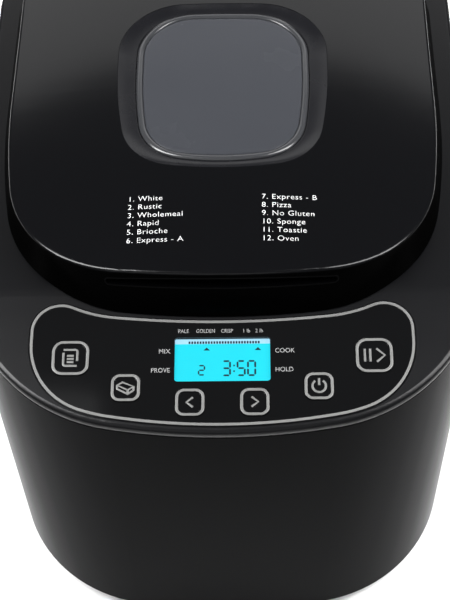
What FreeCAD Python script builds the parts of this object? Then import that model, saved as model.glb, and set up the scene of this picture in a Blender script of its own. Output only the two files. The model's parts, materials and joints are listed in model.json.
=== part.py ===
import FreeCAD, Part
import math
import os

# A compact bread machine, in millimetres.  +X is the user's right, the front faces -Y, +Z is up.
# The origin is the middle of the machine's footprint, on the surface that the feet stand on.

V = FreeCAD.Vector

# ---- Casing ----
HALF_WIDTH = 148.0
FRONT_Y = -180.0
BACK_Y = 180.0
WALL = 2.5
FRONT_BOW = 378.0          # radius of the casing's bowed front
FRONT_HEADING = 9.8        # degrees turned where the front corner begins
BACK_CORNER = 42.0
SHELL_BOTTOM = 9.0
DECK_Z = 267.0
SEAM_DROP = 4.7            # joint line between the shell and the deck, below the deck's surface
SEAM_GAP = 0.8
DECK_THICK = SEAM_DROP - SEAM_GAP / 2.0
LIP_DEPTH = 12.0           # the deck's locating lip ends this far below its surface
DECK_EDGE = 3.2            # rounding of the deck's outer edge
SLOPE_Y = -92.5            # the deck slopes down to the front from here
SLOPE = 8.0
SLOPE_BLEND = 60.0

# ---- Lid ----
LID_TOP = 300.0
LID_FRONT_Y = -110.6
LID_BACK_Y = 154.0
LID_HALF = 134.8
LID_FOOT_Z = 266.0         # height at which the three sizes above are measured
LID_RIM_Z = 290.0
LID_DRAFT_FRONT = 0.33
LID_DRAFT_SIDE = 0.31
LID_DRAFT_BACK = 0.15
LID_FOOT = (580.0, 6.0, 80.0, 500.0)     # bow, heading, corner end and side bow at the foot
LID_CREST = (410.0, 9.3, 84.0, 700.0)    # the same at the rim
LID_BACK_CORNER = 30.0
LID_GAP = 1.2
LID_WALL = 2.5
LID_RIM = 2.2              # rounding of the lid's top edge
CROWN_ACROSS = 650.0
CROWN_ALONG = 1500.0
CROWN_Y = 35.0
HINGE_Y = 163.0
HINGE_Z = 274.5
HINGE_X = 78.0
HINGE_PIN = 2.0
HINGE_EAR = 5.6
LINER_Z = 270.2            # underside of the lid's inner liner
LINER_W = 216.0
LINER_D = 220.0
SEAL_WIDTH = 3.5
INNER_GLASS_W = 118.0
INNER_GLASS_D = 124.0
LID_BOSSES = ((-84.0, -52.0), (84.0, -52.0), (-84.0, 124.0), (84.0, 124.0))
GRIP_HALF = 65.5           # finger pocket in the front skirt
GRIP_LOW = 283.8
GRIP_HIGH = 291.0
GRIP_END = 2.5             # radius of its round ends
GRIP_ARCH_HIGH = 475.0     # radii of its arched upper and lower edges
GRIP_ARCH_LOW = 1060.0
GRIP_WALL = 0.9
GRIP_BACK_Y = -92.0

# ---- Baking chamber and pan ----
CHAMBER_Y = 37.0
CHAMBER_W = 200.0
CHAMBER_D = 208.0
CHAMBER_R = 34.0
SHEET = 0.8
CHAMBER_FLOOR = 62.0
PAN_W = 140.0
PAN_D = 156.0
PAN_R = 24.0
PAN_WALL = 1.6
PAN_FLOOR = 82.0
PAN_TOP = 226.0
PAN_DRAFT = 3.0            # the pan's base is this much smaller on every side
ELEMENT_W = 180.0
ELEMENT_D = 188.0
ELEMENT_R = 34.0
ELEMENT_Z = 92.0
ELEMENT_TUBE = 3.25
TERMINAL_X = (-16.0, 16.0)
TERMINAL_R = 5.5
SENSOR_Y = 77.0
SENSOR_Z = 150.0
SENSOR_R = 3.0
BUSH_R = 10.0
PIVOT_Z = 229.0            # axis of the pan's handle
RIVET_R = 2.0
RIVET_PITCH = (-4.5, 4.5)
HANDLE_WIRE = 2.5
HOOK_SPAN = 11.0           # degrees covered by each bayonet hook and lug

# ---- Drive ----
PLATE_Z = 40.0
PLATE_THICK = 2.0
MOTOR_X = 42.0
MOTOR_Y = -116.0
PULLEY_Z = 16.0
PULLEY_H = 14.0
BIG_PULLEY = 46.0
SMALL_PULLEY = 10.0
BELT_GAP = 0.35
BELT_THICK = 1.8
SHAFT_R = 4.0
MOTOR_SHAFT_R = 3.0
RUNNING_FIT = 0.04
BEARING_R = 7.0
COUPLING_Z = 65.5
COUPLING_R = 17.0
LUG_SPAN = 40.0
STACK_Z = 58.0             # underside of the motor's laminations
STACK_H = 28.0
STACK_SIDE = 74.0
ROTOR_R = 20.0

# ---- Window: half width, front, back, bow, heading, corner end, side bow, back corner ----
WINDOW_SHAPE = (51.8, -22.2, 96.0, 130.0, 11.0, 82.0, 300.0, 34.0)
BEZEL_SHAPE = (64.0, -29.5, 104.0, 170.0, 11.0, 80.0, 300.0, 40.0)

# ---- Heights that hold the whole deck between them, and the cutters' a little further out ----
DECK_BELOW = 200.0
DECK_ABOVE = 300.0
CUT_BELOW = DECK_BELOW - 10.0
CUT_ABOVE = DECK_ABOVE + 10.0

# ---- Control panel ----
PANEL_HALF = 108.4
PANEL_FRONT_MARGIN = 3.6   # from the casing's outline
PANEL_LID_MARGIN = 1.6     # from the lid's outline
PANEL_REAR_CORNER = 17.3
PANEL_FRONT_CORNER = 43.4
PANEL_DEPTH = 1.8
PANEL_PROUD = 0.25
TRIM_MARGIN = 0.8
TRIM_WIDTH = 1.5
LEDGE = 4.2
BUTTON_PROUD = 0.55
BUTTON_GAP = 0.35
BUTTON_TRAVEL = 0.8
LARGE_BUTTON = 21.0
SMALL_BUTTON = 16.4
KEY_CORNER = 0.30          # corner radius of a key, as a share of its size
BUTTONS = (
    ("menu_button", -84.5, -135.0, LARGE_BUTTON),
    ("loaf_button", -53.3, -153.0, SMALL_BUTTON),
    ("down_button", -17.8, -161.9, SMALL_BUTTON),
    ("up_button", 17.8, -161.9, SMALL_BUTTON),
    ("power_button", 53.3, -153.0, SMALL_BUTTON),
    ("start_button", 84.5, -135.0, LARGE_BUTTON),
)
LCD_Y = -136.3
LCD_W = 53.6
LCD_D = 26.6
BOARD_DEPTH = 12.5         # from the deck surface down to the top of the control board
BOARD_THICK = 1.6
SWITCH_H = 4.3

# ---- Feet and fasteners ----
TRAY_INSET = 2.9           # from the casing's outline
TRAY_RIM = 2.3
TRAY_BOTTOM = 6.0
TRAY_FLOOR = 2.5
TRAY_TOP = 26.0
FOOT_R = 10.0
FOOT_STEM_R = 4.0
BOSS_R = 6.5
COLUMN_R = 6.0
SCREW_R = 2.0
SCREW_HEAD_R = 4.0
SCREW_CLEARANCE = 0.2
SCREW_SLOT = 1.0           # width of the cross in a screw's head
VENT_PITCH = 9.0
VENT_HEIGHT = 3.4
VENT_LOW = 62.0
FOOT_PLACES = ((-108.0, -112.0), (108.0, -112.0), (-108.0, 138.0), (108.0, 138.0))
GLAND_X = 84.0
GLAND_Z = 44.0
GLAND_R = 8.0
BOSS_PLACES = ((-139.5, -62.0), (139.5, -62.0), (-139.5, 122.0), (139.5, 122.0))
POST_PLACES = ((-66.0, -28.0), (66.0, -28.0), (-66.0, 102.0), (66.0, 102.0))

PLACED = {}


def export(name, shape):
    """Write one sub-part and keep it by name."""
    shape = shape.removeSplitter()
    if not shape.isValid() or not shape.Solids:
        raise ValueError(name + " isn't a valid solid")
    PLACED[name] = shape
    shape.exportStep("parts/" + name + ".step")
    print(f"{name:22s} solids {len(shape.Solids):2d}  volume {shape.Volume / 1000.0:9.2f} cm3")


# ---- Basic shapes ----

def box(x0, x1, y0, y1, z0, z1):
    return Part.makeBox(x1 - x0, y1 - y0, z1 - z0, V(x0, y0, z0))


def disc(radius, z0, z1, x=0.0, y=0.0):
    return Part.makeCylinder(radius, z1 - z0, V(x, y, z0), V(0, 0, 1))


def ring(outer, inner, z0, z1, x=0.0, y=0.0):
    return disc(outer, z0, z1, x, y).cut(disc(inner, z0, z1, x, y))


def rod_x(radius, x0, x1, y, z):
    return Part.makeCylinder(radius, x1 - x0, V(x0, y, z), V(1, 0, 0))


def rod_y(radius, y0, y1, x, z):
    return Part.makeCylinder(radius, y1 - y0, V(x, y0, z), V(0, 1, 0))


def prism(wire, z0, z1):
    """Vertical solid over a flat wire."""
    face = Part.Face(wire)
    face.translate(V(0, 0, z0 - wire.BoundBox.ZMin))
    return face.extrude(V(0, 0, z1 - z0))


def rounded_rectangle(width, depth, radius, x=0.0, y=0.0, z=0.0):
    """Closed wire of four lines and four quarter circles."""
    a = width / 2.0
    b = depth / 2.0
    edges = []
    corners = ((1, -1, -90.0), (1, 1, 0.0), (-1, 1, 90.0), (-1, -1, 180.0))
    ends = []
    for sx, sy, start in corners:
        centre = V(x + sx * (a - radius), y + sy * (b - radius), z)
        arc = Part.Circle(centre, V(0, 0, 1), radius)
        edge = Part.Arc(arc, math.radians(start), math.radians(start + 90.0)).toShape()
        ends.append(edge)
    for i, edge in enumerate(ends):
        following = ends[(i + 1) % 4]
        edges.append(edge)
        edges.append(Part.LineSegment(edge.lastVertex().Point, following.firstVertex().Point).toShape())
    return Part.Wire(Part.__sortEdges__(edges))


def block(width, depth, radius, z0, z1, x=0.0, y=0.0):
    return prism(rounded_rectangle(width, depth, radius, x, y), z0, z1)


def fuse_all(shapes):
    shapes = list(shapes)
    return shapes[0].multiFuse(shapes[1:]) if len(shapes) > 1 else shapes[0]


def mirrored(shape):
    return shape.mirror(V(0, 0, 0), V(1, 0, 0))


# ---- Outlines with a bowed front ----

def arc_edge(start, heading, turned, radius):
    """Left-hand arc from a point, turning from one heading to another (degrees from +X)."""
    def at(angle):
        a = math.radians(angle)
        centre_x = start.x - radius * math.sin(math.radians(heading))
        centre_y = start.y + radius * math.cos(math.radians(heading))
        return V(centre_x + radius * math.sin(a), centre_y - radius * math.cos(a), start.z)
    end = at(turned)
    return Part.Arc(start, at((heading + turned) / 2.0), end).toShape(), end


def bowed_outline(half, front, back, bow, heading, corner_end, side_bow, back_corner, inset=0.0, z=0.0):
    """Symmetric closed wire: a bowed front, round front corners, sides that may bow and a square back.

    The front corner's radius follows from the half width, and inset moves the whole line inwards.
    """
    s1 = math.sin(math.radians(heading))
    s2 = math.sin(math.radians(corner_end))
    corner = (half - bow * s1 - side_bow * (1.0 - s2)) / (s2 - s1)
    edges = []
    point = V(0, front + inset, z)
    edge, point = arc_edge(point, 0.0, heading, bow - inset)
    edges.append(edge)
    edge, point = arc_edge(point, heading, corner_end, corner - inset)
    edges.append(edge)
    if corner_end < 90.0:
        edge, point = arc_edge(point, corner_end, 90.0, side_bow - inset)
        edges.append(edge)
    back_radius = back_corner - inset
    shoulder = V(half - inset, back - inset - back_radius, z)
    edges.append(Part.LineSegment(point, shoulder).toShape())
    edge, point = arc_edge(shoulder, 90.0, 180.0, back_radius)
    edges.append(edge)
    edges.append(Part.LineSegment(point, V(0, back - inset, z)).toShape())
    left = [mirrored(e) for e in edges]
    return Part.Wire(Part.__sortEdges__(edges + left))


def casing_outline(inset=0.0, z=0.0):
    return bowed_outline(HALF_WIDTH, FRONT_Y, BACK_Y, FRONT_BOW, FRONT_HEADING, 90.0, 0.0,
                         BACK_CORNER, inset, z)


def lid_outline(z, inset=0.0):
    """The lid's outline at one height: going up, the skirt leans inwards and its corners grow rounder."""
    up = z - LID_FOOT_Z
    share = up / (LID_RIM_Z - LID_FOOT_Z)
    curve = [foot + (crest - foot) * share for foot, crest in zip(LID_FOOT, LID_CREST)]
    return bowed_outline(LID_HALF - LID_DRAFT_SIDE * up, LID_FRONT_Y + LID_DRAFT_FRONT * up,
                         LID_BACK_Y - LID_DRAFT_BACK * up, *curve, LID_BACK_CORNER, inset, z)


def lid_plan(inset=0.0):
    """The outline of the lid's foot, used in plan."""
    return bowed_outline(LID_HALF, LID_FRONT_Y, LID_BACK_Y, *LID_FOOT, LID_BACK_CORNER, inset)


def window_outline(inset=0.0):
    return bowed_outline(*WINDOW_SHAPE, inset)


def bezel_outline(inset=0.0):
    return bowed_outline(*BEZEL_SHAPE, inset)


def slope_z(y):
    """Height of the sloping panel plane at a given Y."""
    return DECK_Z + (y - SLOPE_Y) * math.tan(math.radians(SLOPE))


def under_deck_surface(raised=0.0):
    """Everything below the deck's top surface moved up or down: flat behind, sloping in front."""
    tangent = SLOPE_BLEND * math.tan(math.radians(SLOPE / 2.0))
    far = 260.0
    low = -50.0
    a = math.radians(SLOPE)
    blend_start = V(0, SLOPE_Y - tangent * math.cos(a), DECK_Z - tangent * math.sin(a))
    blend_end = V(0, SLOPE_Y + tangent, DECK_Z)
    middle = V(0, blend_end.y - SLOPE_BLEND * math.sin(a / 2.0),
               DECK_Z - SLOPE_BLEND * (1.0 - math.cos(a / 2.0)))
    front = V(0, -far, slope_z(-far))
    edges = [
        Part.LineSegment(front, blend_start).toShape(),
        Part.Arc(blend_start, middle, blend_end).toShape(),
        Part.LineSegment(blend_end, V(0, far, DECK_Z)).toShape(),
        Part.LineSegment(V(0, far, DECK_Z), V(0, far, low)).toShape(),
        Part.LineSegment(V(0, far, low), V(0, -far, low)).toShape(),
        Part.LineSegment(V(0, -far, low), front).toShape(),
    ]
    face = Part.Face(Part.Wire(edges))
    face.translate(V(-far, 0, raised))
    return face.extrude(V(2.0 * far, 0, 0))


def panel_slab(lower, upper):
    """Slab parallel to the sloping panel, between two distances from its surface."""
    far = 120.0
    slab = box(-200.0, 200.0, -far, far, lower, upper)
    slab.rotate(V(0, 0, 0), V(1, 0, 0), SLOPE)
    slab.translate(V(0, SLOPE_Y, DECK_Z))
    return slab


def panel_frame(shape, x, y):
    """Move a shape modelled about the origin to a place on the sloping panel."""
    placed = shape.copy()
    placed.rotate(V(0, 0, 0), V(1, 0, 0), SLOPE)
    placed.translate(V(x, y, slope_z(y)))
    return placed


def crown(lowered=0.0):
    """Everything below the lid's crowned top surface."""
    across = CROWN_ACROSS - lowered
    sink = CROWN_ALONG - CROWN_ACROSS
    return Part.makeTorus(sink, across, V(0, CROWN_Y, LID_TOP - CROWN_ALONG), V(1, 0, 0))


def crown_z(x, y, lowered=0.0):
    """Height of the lid's crowned top surface."""
    ring_radius = CROWN_ALONG - CROWN_ACROSS + math.sqrt((CROWN_ACROSS - lowered) ** 2 - x * x)
    return LID_TOP - CROWN_ALONG + math.sqrt(ring_radius ** 2 - (y - CROWN_Y) ** 2)


# ---- Base ----

def make_base_tray():
    floor = prism(casing_outline(TRAY_INSET), TRAY_BOTTOM, TRAY_BOTTOM + TRAY_FLOOR)
    rim = prism(casing_outline(TRAY_INSET), TRAY_BOTTOM, TRAY_TOP).cut(
        prism(casing_outline(TRAY_INSET + TRAY_RIM), TRAY_BOTTOM, TRAY_TOP))
    tray = floor.fuse(rim)
    columns = [disc(COLUMN_R, TRAY_BOTTOM, TRAY_TOP, x, y) for x, y in BOSS_PLACES]
    posts = [disc(BOSS_R, TRAY_BOTTOM, PLATE_Z, x, y) for x, y in POST_PLACES]
    posts += [disc(BOSS_R, TRAY_BOTTOM, PLATE_Z, MOTOR_X + dx, MOTOR_Y - 22.0) for dx in (-26.0, 26.0)]
    sockets = [disc(FOOT_R + 2.5, TRAY_BOTTOM, TRAY_BOTTOM + 5.0, x, y) for x, y in FOOT_PLACES]
    inside = prism(casing_outline(TRAY_INSET), TRAY_BOTTOM, PLATE_Z)
    tray = fuse_all([tray] + [c.common(inside) for c in columns] + posts + sockets)
    holes = [disc(FOOT_R + 0.1, TRAY_BOTTOM - 1.0, TRAY_BOTTOM + 2.0, x, y) for x, y in FOOT_PLACES]
    holes += [disc(FOOT_STEM_R, TRAY_BOTTOM, TRAY_BOTTOM + 6.0, x, y) for x, y in FOOT_PLACES]
    clear_r = SCREW_R + SCREW_CLEARANCE
    head_r = SCREW_HEAD_R + SCREW_CLEARANCE
    holes += [disc(clear_r, TRAY_BOTTOM - 1.0, TRAY_TOP + 1.0, x, y) for x, y in BOSS_PLACES]
    holes += [disc(head_r, TRAY_BOTTOM - 1.0, TRAY_BOTTOM + 3.0, x, y) for x, y in BOSS_PLACES]
    holes += [disc(SCREW_R, PLATE_Z - 12.0, PLATE_Z + 1.0, x, y) for x, y in POST_PLACES]
    slots = []
    for row in range(9):
        y = -14.0 + 12.0 * row
        for x in (-114.0, 84.0):
            slots.append(block(30.0, 4.0, 1.99, TRAY_BOTTOM - 1.0, TRAY_TOP, x + 15.0, y))
    return tray.cut(Part.makeCompound(holes)).cut(Part.makeCompound(slots))


def make_rubber_feet():
    feet = []
    for x, y in FOOT_PLACES:
        pad = disc(FOOT_R, 0.0, TRAY_BOTTOM + 2.0, x, y)
        low_edges = [e for e in pad.Edges if abs(e.BoundBox.ZMax) < 0.01]
        pad = pad.makeFillet(1.5, low_edges)
        feet.append(pad.fuse(disc(FOOT_STEM_R, TRAY_BOTTOM + 2.0, TRAY_BOTTOM + 6.0, x, y)))
    return Part.makeCompound(feet)


def make_base_screws():
    screws = []
    half = SCREW_SLOT / 2.0
    for x, y in BOSS_PLACES:
        head = disc(SCREW_HEAD_R, TRAY_BOTTOM + 0.6, TRAY_BOTTOM + 3.0, x, y)
        reach = SCREW_HEAD_R * 0.55
        cross = box(x - reach, x + reach, y - half, y + half, TRAY_BOTTOM, TRAY_BOTTOM + 1.8)
        cross = cross.fuse(box(x - half, x + half, y - reach, y + reach, TRAY_BOTTOM, TRAY_BOTTOM + 1.8))
        stem = disc(SCREW_R, TRAY_BOTTOM + 3.0, TRAY_TOP + 14.0, x, y)
        screws.append(head.fuse(stem).cut(cross))
    return Part.makeCompound(screws)


def make_outer_shell():
    drop = SEAM_DROP + SEAM_GAP / 2.0
    shell = prism(casing_outline(), SHELL_BOTTOM, DECK_Z).common(under_deck_surface(-drop))
    shell = shell.makeChamfer(0.5, rim_edges(shell, drop))
    shell = shell.cut(prism(casing_outline(WALL), SHELL_BOTTOM - 1.0, DECK_Z))
    bosses = [disc(BOSS_R, TRAY_TOP + 0.3, TRAY_TOP + 24.0, x, y) for x, y in BOSS_PLACES]
    keep = prism(casing_outline(), SHELL_BOTTOM, DECK_Z)
    shell = fuse_all([shell] + [b.common(keep) for b in bosses])
    cuts = [disc(SCREW_R, TRAY_TOP, TRAY_TOP + 14.5, x, y) for x, y in BOSS_PLACES]
    for row in range(8):
        z = VENT_LOW + VENT_PITCH * row
        for side in (-1, 1):
            x = side * HALF_WIDTH
            cuts.append(box(x - 6.0, x + 6.0, 62.0, 122.0, z, z + VENT_HEIGHT))
        for column in (-1, 0, 1):
            x = 46.0 * column
            cuts.append(box(x - 18.0, x + 18.0, BACK_Y - 6.0, BACK_Y + 6.0, z, z + VENT_HEIGHT))
    cuts.append(rod_y(GLAND_R, BACK_Y - 6.0, BACK_Y + 6.0, GLAND_X, GLAND_Z))
    return shell.cut(Part.makeCompound(cuts))


def make_cord_gland():
    flange = rod_y(GLAND_R + 4.0, BACK_Y - WALL - 2.0, BACK_Y - WALL, GLAND_X, GLAND_Z)
    barrel = rod_y(GLAND_R, BACK_Y - 12.0, BACK_Y, GLAND_X, GLAND_Z)
    nut = rod_y(GLAND_R + 2.0, BACK_Y - 12.0, BACK_Y - 7.0, GLAND_X, GLAND_Z)
    bore = rod_y(3.6, BACK_Y - 13.0, BACK_Y + 4.0, GLAND_X, GLAND_Z)
    return fuse_all([flange, barrel, nut]).cut(bore)


# ---- Deck and control panel ----

def rim_edges(solid, lowered=0.0):
    """Edges round a solid that ends at the deck's surface, or that far below, without those that cross it."""
    edges = []
    for edge in solid.Edges:
        middle = edge.valueAt((edge.FirstParameter + edge.LastParameter) / 2.0)
        level = DECK_Z if middle.y > SLOPE_Y else slope_z(middle.y)
        across = edge.BoundBox.XLength > 1.9 * HALF_WIDTH
        if abs(middle.z - level + lowered) < 1.0 and not across:
            edges.append(edge)
    return edges


def make_top_deck():
    """Plate that follows the deck's surface, with a lip that locates it inside the shell."""
    deck = prism(casing_outline(), DECK_BELOW, DECK_ABOVE).common(under_deck_surface())
    deck = deck.cut(under_deck_surface(-DECK_THICK))
    deck = deck.makeFillet(DECK_EDGE, rim_edges(deck))
    lip = prism(casing_outline(WALL + 0.3), DECK_BELOW, DECK_ABOVE)
    lip = lip.cut(prism(casing_outline(WALL + 2.3), CUT_BELOW, CUT_ABOVE))
    lip = lip.common(under_deck_surface(-DECK_THICK + 0.5)).cut(under_deck_surface(-LIP_DEPTH))
    deck = deck.fuse(lip)
    deck = deck.cut(block(CHAMBER_W, CHAMBER_D, CHAMBER_R, DECK_BELOW, DECK_ABOVE, 0.0, CHAMBER_Y))
    deck = deck.cut(panel_region(-0.1).common(panel_slab(-PANEL_DEPTH, 20.0)))
    deck = deck.cut(panel_region(LEDGE).common(panel_slab(-20.0, 20.0)))
    return deck.fuse(fuse_all(hinge_lugs()))


def hinge_lugs():
    """Two pairs of lugs behind the lid that hold the hinge pins."""
    lugs = []
    for side in (-1, 1):
        for inner in (-15.0, 7.4):
            x = side * HINGE_X + inner
            cheek = rod_x(HINGE_EAR, x, x + 7.6, HINGE_Y, HINGE_Z)
            foot = box(x, x + 7.6, HINGE_Y - HINGE_EAR, HINGE_Y + HINGE_EAR, DECK_Z - 1.0, HINGE_Z)
            lugs.append(cheek.fuse(foot).cut(rod_x(HINGE_PIN, x - 1.0, x + 9.0, HINGE_Y, HINGE_Z)))
    return lugs


def panel_region(margin):
    """Tall prism over the control panel's plan, drawn in by a margin."""
    front = prism(casing_outline(PANEL_FRONT_MARGIN + margin), DECK_BELOW, DECK_ABOVE)
    lid = prism(lid_plan(-PANEL_LID_MARGIN - margin), CUT_BELOW, CUT_ABOVE)
    half = PANEL_HALF - margin
    region = front.cut(lid).common(box(-half, half, -200.0, -60.0, CUT_BELOW, CUT_ABOVE))
    for back, radius in ((True, PANEL_REAR_CORNER - margin), (False, PANEL_FRONT_CORNER - margin)):
        uprights = []
        for edge in region.Edges:
            b = edge.BoundBox
            upright = b.ZLength > 90.0 and b.XLength < 0.01 and abs(abs(b.XMin) - half) < 0.01
            if upright and (b.YMin > -115.0) == back:
                uprights.append(edge)
        region = region.makeFillet(radius, uprights)
    return region


def make_panel_trim():
    band = panel_region(TRIM_MARGIN).cut(panel_region(TRIM_MARGIN + TRIM_WIDTH))
    return band.common(panel_slab(PANEL_PROUD - 0.8, PANEL_PROUD + 0.2))


def button_prism(size, grow, z0, z1):
    side = size + 2.0 * grow
    return block(side, side, size * KEY_CORNER + grow, z0, z1)


def lcd_place(shape):
    return panel_frame(shape, 0.0, LCD_Y)


def make_control_panel():
    plate = panel_region(0.0).common(panel_slab(-PANEL_DEPTH, PANEL_PROUD))
    plate = plate.cut(PLACED["panel_trim"])
    for name, x, y, size in BUTTONS:
        plate = plate.cut(panel_frame(button_prism(size, BUTTON_GAP, -5.0, 5.0), x, y))
    return plate.cut(lcd_place(block(LCD_W, LCD_D, 2.0, -5.0, 5.0)))


def make_button(x, y, size):
    """Cap with a raised rim, a retaining flange and a stem that ends just above its switch."""
    top = PANEL_PROUD + BUTTON_PROUD
    cap = button_prism(size, 0.0, -PANEL_DEPTH - 1.5, top)
    upper = [e for e in cap.Edges if e.BoundBox.ZMin > top - 0.01]
    cap = cap.makeFillet(0.4, upper)
    cap = cap.cut(button_prism(size, -2.3, top - 0.3, top + 1.0))
    flange = button_prism(size, 1.0, -PANEL_DEPTH - 1.6, -PANEL_DEPTH - 0.4)
    stem_end = -BOARD_DEPTH + SWITCH_H + BUTTON_TRAVEL + 0.15
    stem = disc(2.5, stem_end, -PANEL_DEPTH - 1.0)
    return panel_frame(fuse_all([cap, flange, stem]), x, y)


def make_lcd_window():
    return lcd_place(block(LCD_W, LCD_D, 2.0, -PANEL_DEPTH, PANEL_PROUD - 0.05))


def make_lcd_module():
    glass = block(LCD_W + 3.0, LCD_D + 3.0, 1.0, -PANEL_DEPTH - 3.0, -PANEL_DEPTH)
    carrier = block(LCD_W + 5.0, LCD_D + 3.4, 1.5, -BOARD_DEPTH, -PANEL_DEPTH - 3.0)
    return lcd_place(glass.fuse(carrier))


def make_control_board():
    board = panel_region(LEDGE + 3.0).common(
        panel_slab(-BOARD_DEPTH - BOARD_THICK, -BOARD_DEPTH))
    chips = [
        panel_frame(box(-7.0, 7.0, -5.0, 5.0, -BOARD_DEPTH - 4.0, -BOARD_DEPTH - 1.0), -30.0, -136.0),
        panel_frame(box(-9.0, 9.0, -3.5, 3.5, -BOARD_DEPTH - 9.0, -BOARD_DEPTH - 1.0), 28.0, -132.0),
    ]
    return fuse_all([board] + chips)


def make_tact_switches():
    switches = []
    for name, x, y, size in BUTTONS:
        body = box(-3.0, 3.0, -3.0, 3.0, -BOARD_DEPTH, -BOARD_DEPTH + 3.4)
        plunger = disc(1.7, -BOARD_DEPTH + 3.4, -BOARD_DEPTH + SWITCH_H)
        switches.append(panel_frame(body.fuse(plunger), x, y))
    return Part.makeCompound(switches)


# ---- Chamber ----

def make_oven_liner():
    top = DECK_Z - DECK_THICK
    outside = block(CHAMBER_W + 2.0 * SHEET, CHAMBER_D + 2.0 * SHEET, CHAMBER_R + SHEET,
                    CHAMBER_FLOOR - SHEET, top, 0.0, CHAMBER_Y)
    flange = block(CHAMBER_W + 16.0, CHAMBER_D + 16.0, CHAMBER_R + 8.0, top - SHEET, top, 0.0, CHAMBER_Y)
    inside = block(CHAMBER_W, CHAMBER_D, CHAMBER_R, CHAMBER_FLOOR, top + 1.0, 0.0, CHAMBER_Y)
    liner = outside.fuse(flange).cut(inside)
    cuts = [disc(8.0, CHAMBER_FLOOR - 3.0, CHAMBER_FLOOR + 1.0, 0.0, CHAMBER_Y)]
    cuts += [disc(2.2, CHAMBER_FLOOR - 3.0, CHAMBER_FLOOR + 1.0, x, y) for x, y in POST_PLACES]
    back = CHAMBER_Y + CHAMBER_D / 2.0
    for x in TERMINAL_X:
        cuts.append(rod_y(TERMINAL_R, back - 3.0, back + 3.0, x, ELEMENT_Z))
    cuts.append(rod_x(SENSOR_R, -CHAMBER_W / 2.0 - 3.0, -CHAMBER_W / 2.0 + 3.0, SENSOR_Y, SENSOR_Z))
    return liner.cut(Part.makeCompound(cuts))


def tube_path(points, radius):
    """Wire of straight runs joined by tangent arcs of one radius."""
    edges = []
    start = points[0]
    for before, corner, after in zip(points, points[1:], points[2:]):
        a = (before - corner).normalize()
        b = (after - corner).normalize()
        half_angle = math.acos(max(-1.0, min(1.0, a.dot(b)))) / 2.0
        reach = radius / math.tan(half_angle)
        first = corner + a * reach
        last = corner + b * reach
        centre = corner + (a + b).normalize() * (radius / math.sin(half_angle))
        middle = centre + (corner - centre).normalize() * radius
        edges.append(Part.LineSegment(start, first).toShape())
        edges.append(Part.Arc(first, middle, last).toShape())
        start = last
    edges.append(Part.LineSegment(start, points[-1]).toShape())
    return Part.Wire(edges)


def make_heating_element():
    a = ELEMENT_W / 2.0
    front = CHAMBER_Y - ELEMENT_D / 2.0
    back = CHAMBER_Y + ELEMENT_D / 2.0
    out = CHAMBER_Y + CHAMBER_D / 2.0 + 13.0
    x0, x1 = TERMINAL_X
    z = ELEMENT_Z
    left = [V(x0, out, z), V(x0, back, z), V(-a, back, z), V(-a, front, z), V(0, front, z)]
    right = [V(x1, out, z), V(x1, back, z), V(a, back, z), V(a, front, z), V(0, front, z)]
    halves = []
    for points in (left, right):
        edges = list(tube_path(points[:3], 9.0).Edges)[:-1]
        join = edges[-1].lastVertex().Point
        edges += list(tube_path([join] + points[2:], ELEMENT_R).Edges)
        wire = Part.Wire(edges)
        circle = Part.Wire(Part.Circle(points[0], V(0, -1, 0), ELEMENT_TUBE).toShape())
        halves.append(wire.makePipeShell([circle], True, False))
    return halves[0].fuse(halves[1])


def make_element_terminals():
    back = CHAMBER_Y + CHAMBER_D / 2.0
    pieces = []
    for x in TERMINAL_X:
        barrel = rod_y(TERMINAL_R, back - 0.8, back + 6.0, x, ELEMENT_Z)
        flange = rod_y(TERMINAL_R + 2.5, back + SHEET, back + SHEET + 3.0, x, ELEMENT_Z)
        pieces.append(barrel.fuse(flange).cut(rod_y(ELEMENT_TUBE, back - 4.0, back + 8.0, x, ELEMENT_Z)))
    return Part.makeCompound(pieces)


def make_element_brackets():
    """Four spring clips that hold the element off the chamber wall."""
    clips = []
    wall = CHAMBER_W / 2.0
    axis = ELEMENT_W / 2.0
    for side in (-1, 1):
        for y in (CHAMBER_Y - 45.0, CHAMBER_Y + 45.0):
            x0, x1 = sorted((side * (axis - 2.0), side * wall))
            strap = box(x0, x1, y - 5.0, y + 5.0, ELEMENT_Z + ELEMENT_TUBE, ELEMENT_Z + ELEMENT_TUBE + 1.2)
            shelf = box(x0, x1, y - 5.0, y + 5.0, ELEMENT_Z - ELEMENT_TUBE - 1.2, ELEMENT_Z - ELEMENT_TUBE)
            x0, x1 = sorted((side * (wall - 1.2), side * wall))
            back = box(x0, x1, y - 5.0, y + 5.0, ELEMENT_Z - ELEMENT_TUBE - 1.2,
                       ELEMENT_Z + ELEMENT_TUBE + 1.2)
            clips.append(fuse_all([strap, shelf, back]))
    return Part.makeCompound(clips)


def make_temperature_sensor():
    wall = -CHAMBER_W / 2.0
    probe = rod_x(2.4, wall - 12.0, wall + 13.0, SENSOR_Y, SENSOR_Z)
    tip = Part.makeSphere(2.4, V(wall + 13.0, SENSOR_Y, SENSOR_Z))
    collar = rod_x(SENSOR_R, wall - SHEET, wall, SENSOR_Y, SENSOR_Z)
    flange = rod_x(6.5, wall - SHEET - 2.5, wall - SHEET, SENSOR_Y, SENSOR_Z)
    return fuse_all([probe, tip, collar, flange])


def make_pan_seat():
    """Ring on the chamber floor whose four hooks hold down the lugs of the pan's foot."""
    seat = ring(60.0, 54.0, CHAMBER_FLOOR, CHAMBER_FLOOR + 12.0, 0.0, CHAMBER_Y)
    base = ring(62.0, 50.0, CHAMBER_FLOOR, CHAMBER_FLOOR + 2.0, 0.0, CHAMBER_Y)
    hooks = sectors(54.5, 47.6, CHAMBER_FLOOR + 9.0, CHAMBER_FLOOR + 12.0, HOOK_SPAN, 45.0)
    return fuse_all([seat, base] + hooks)


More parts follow.
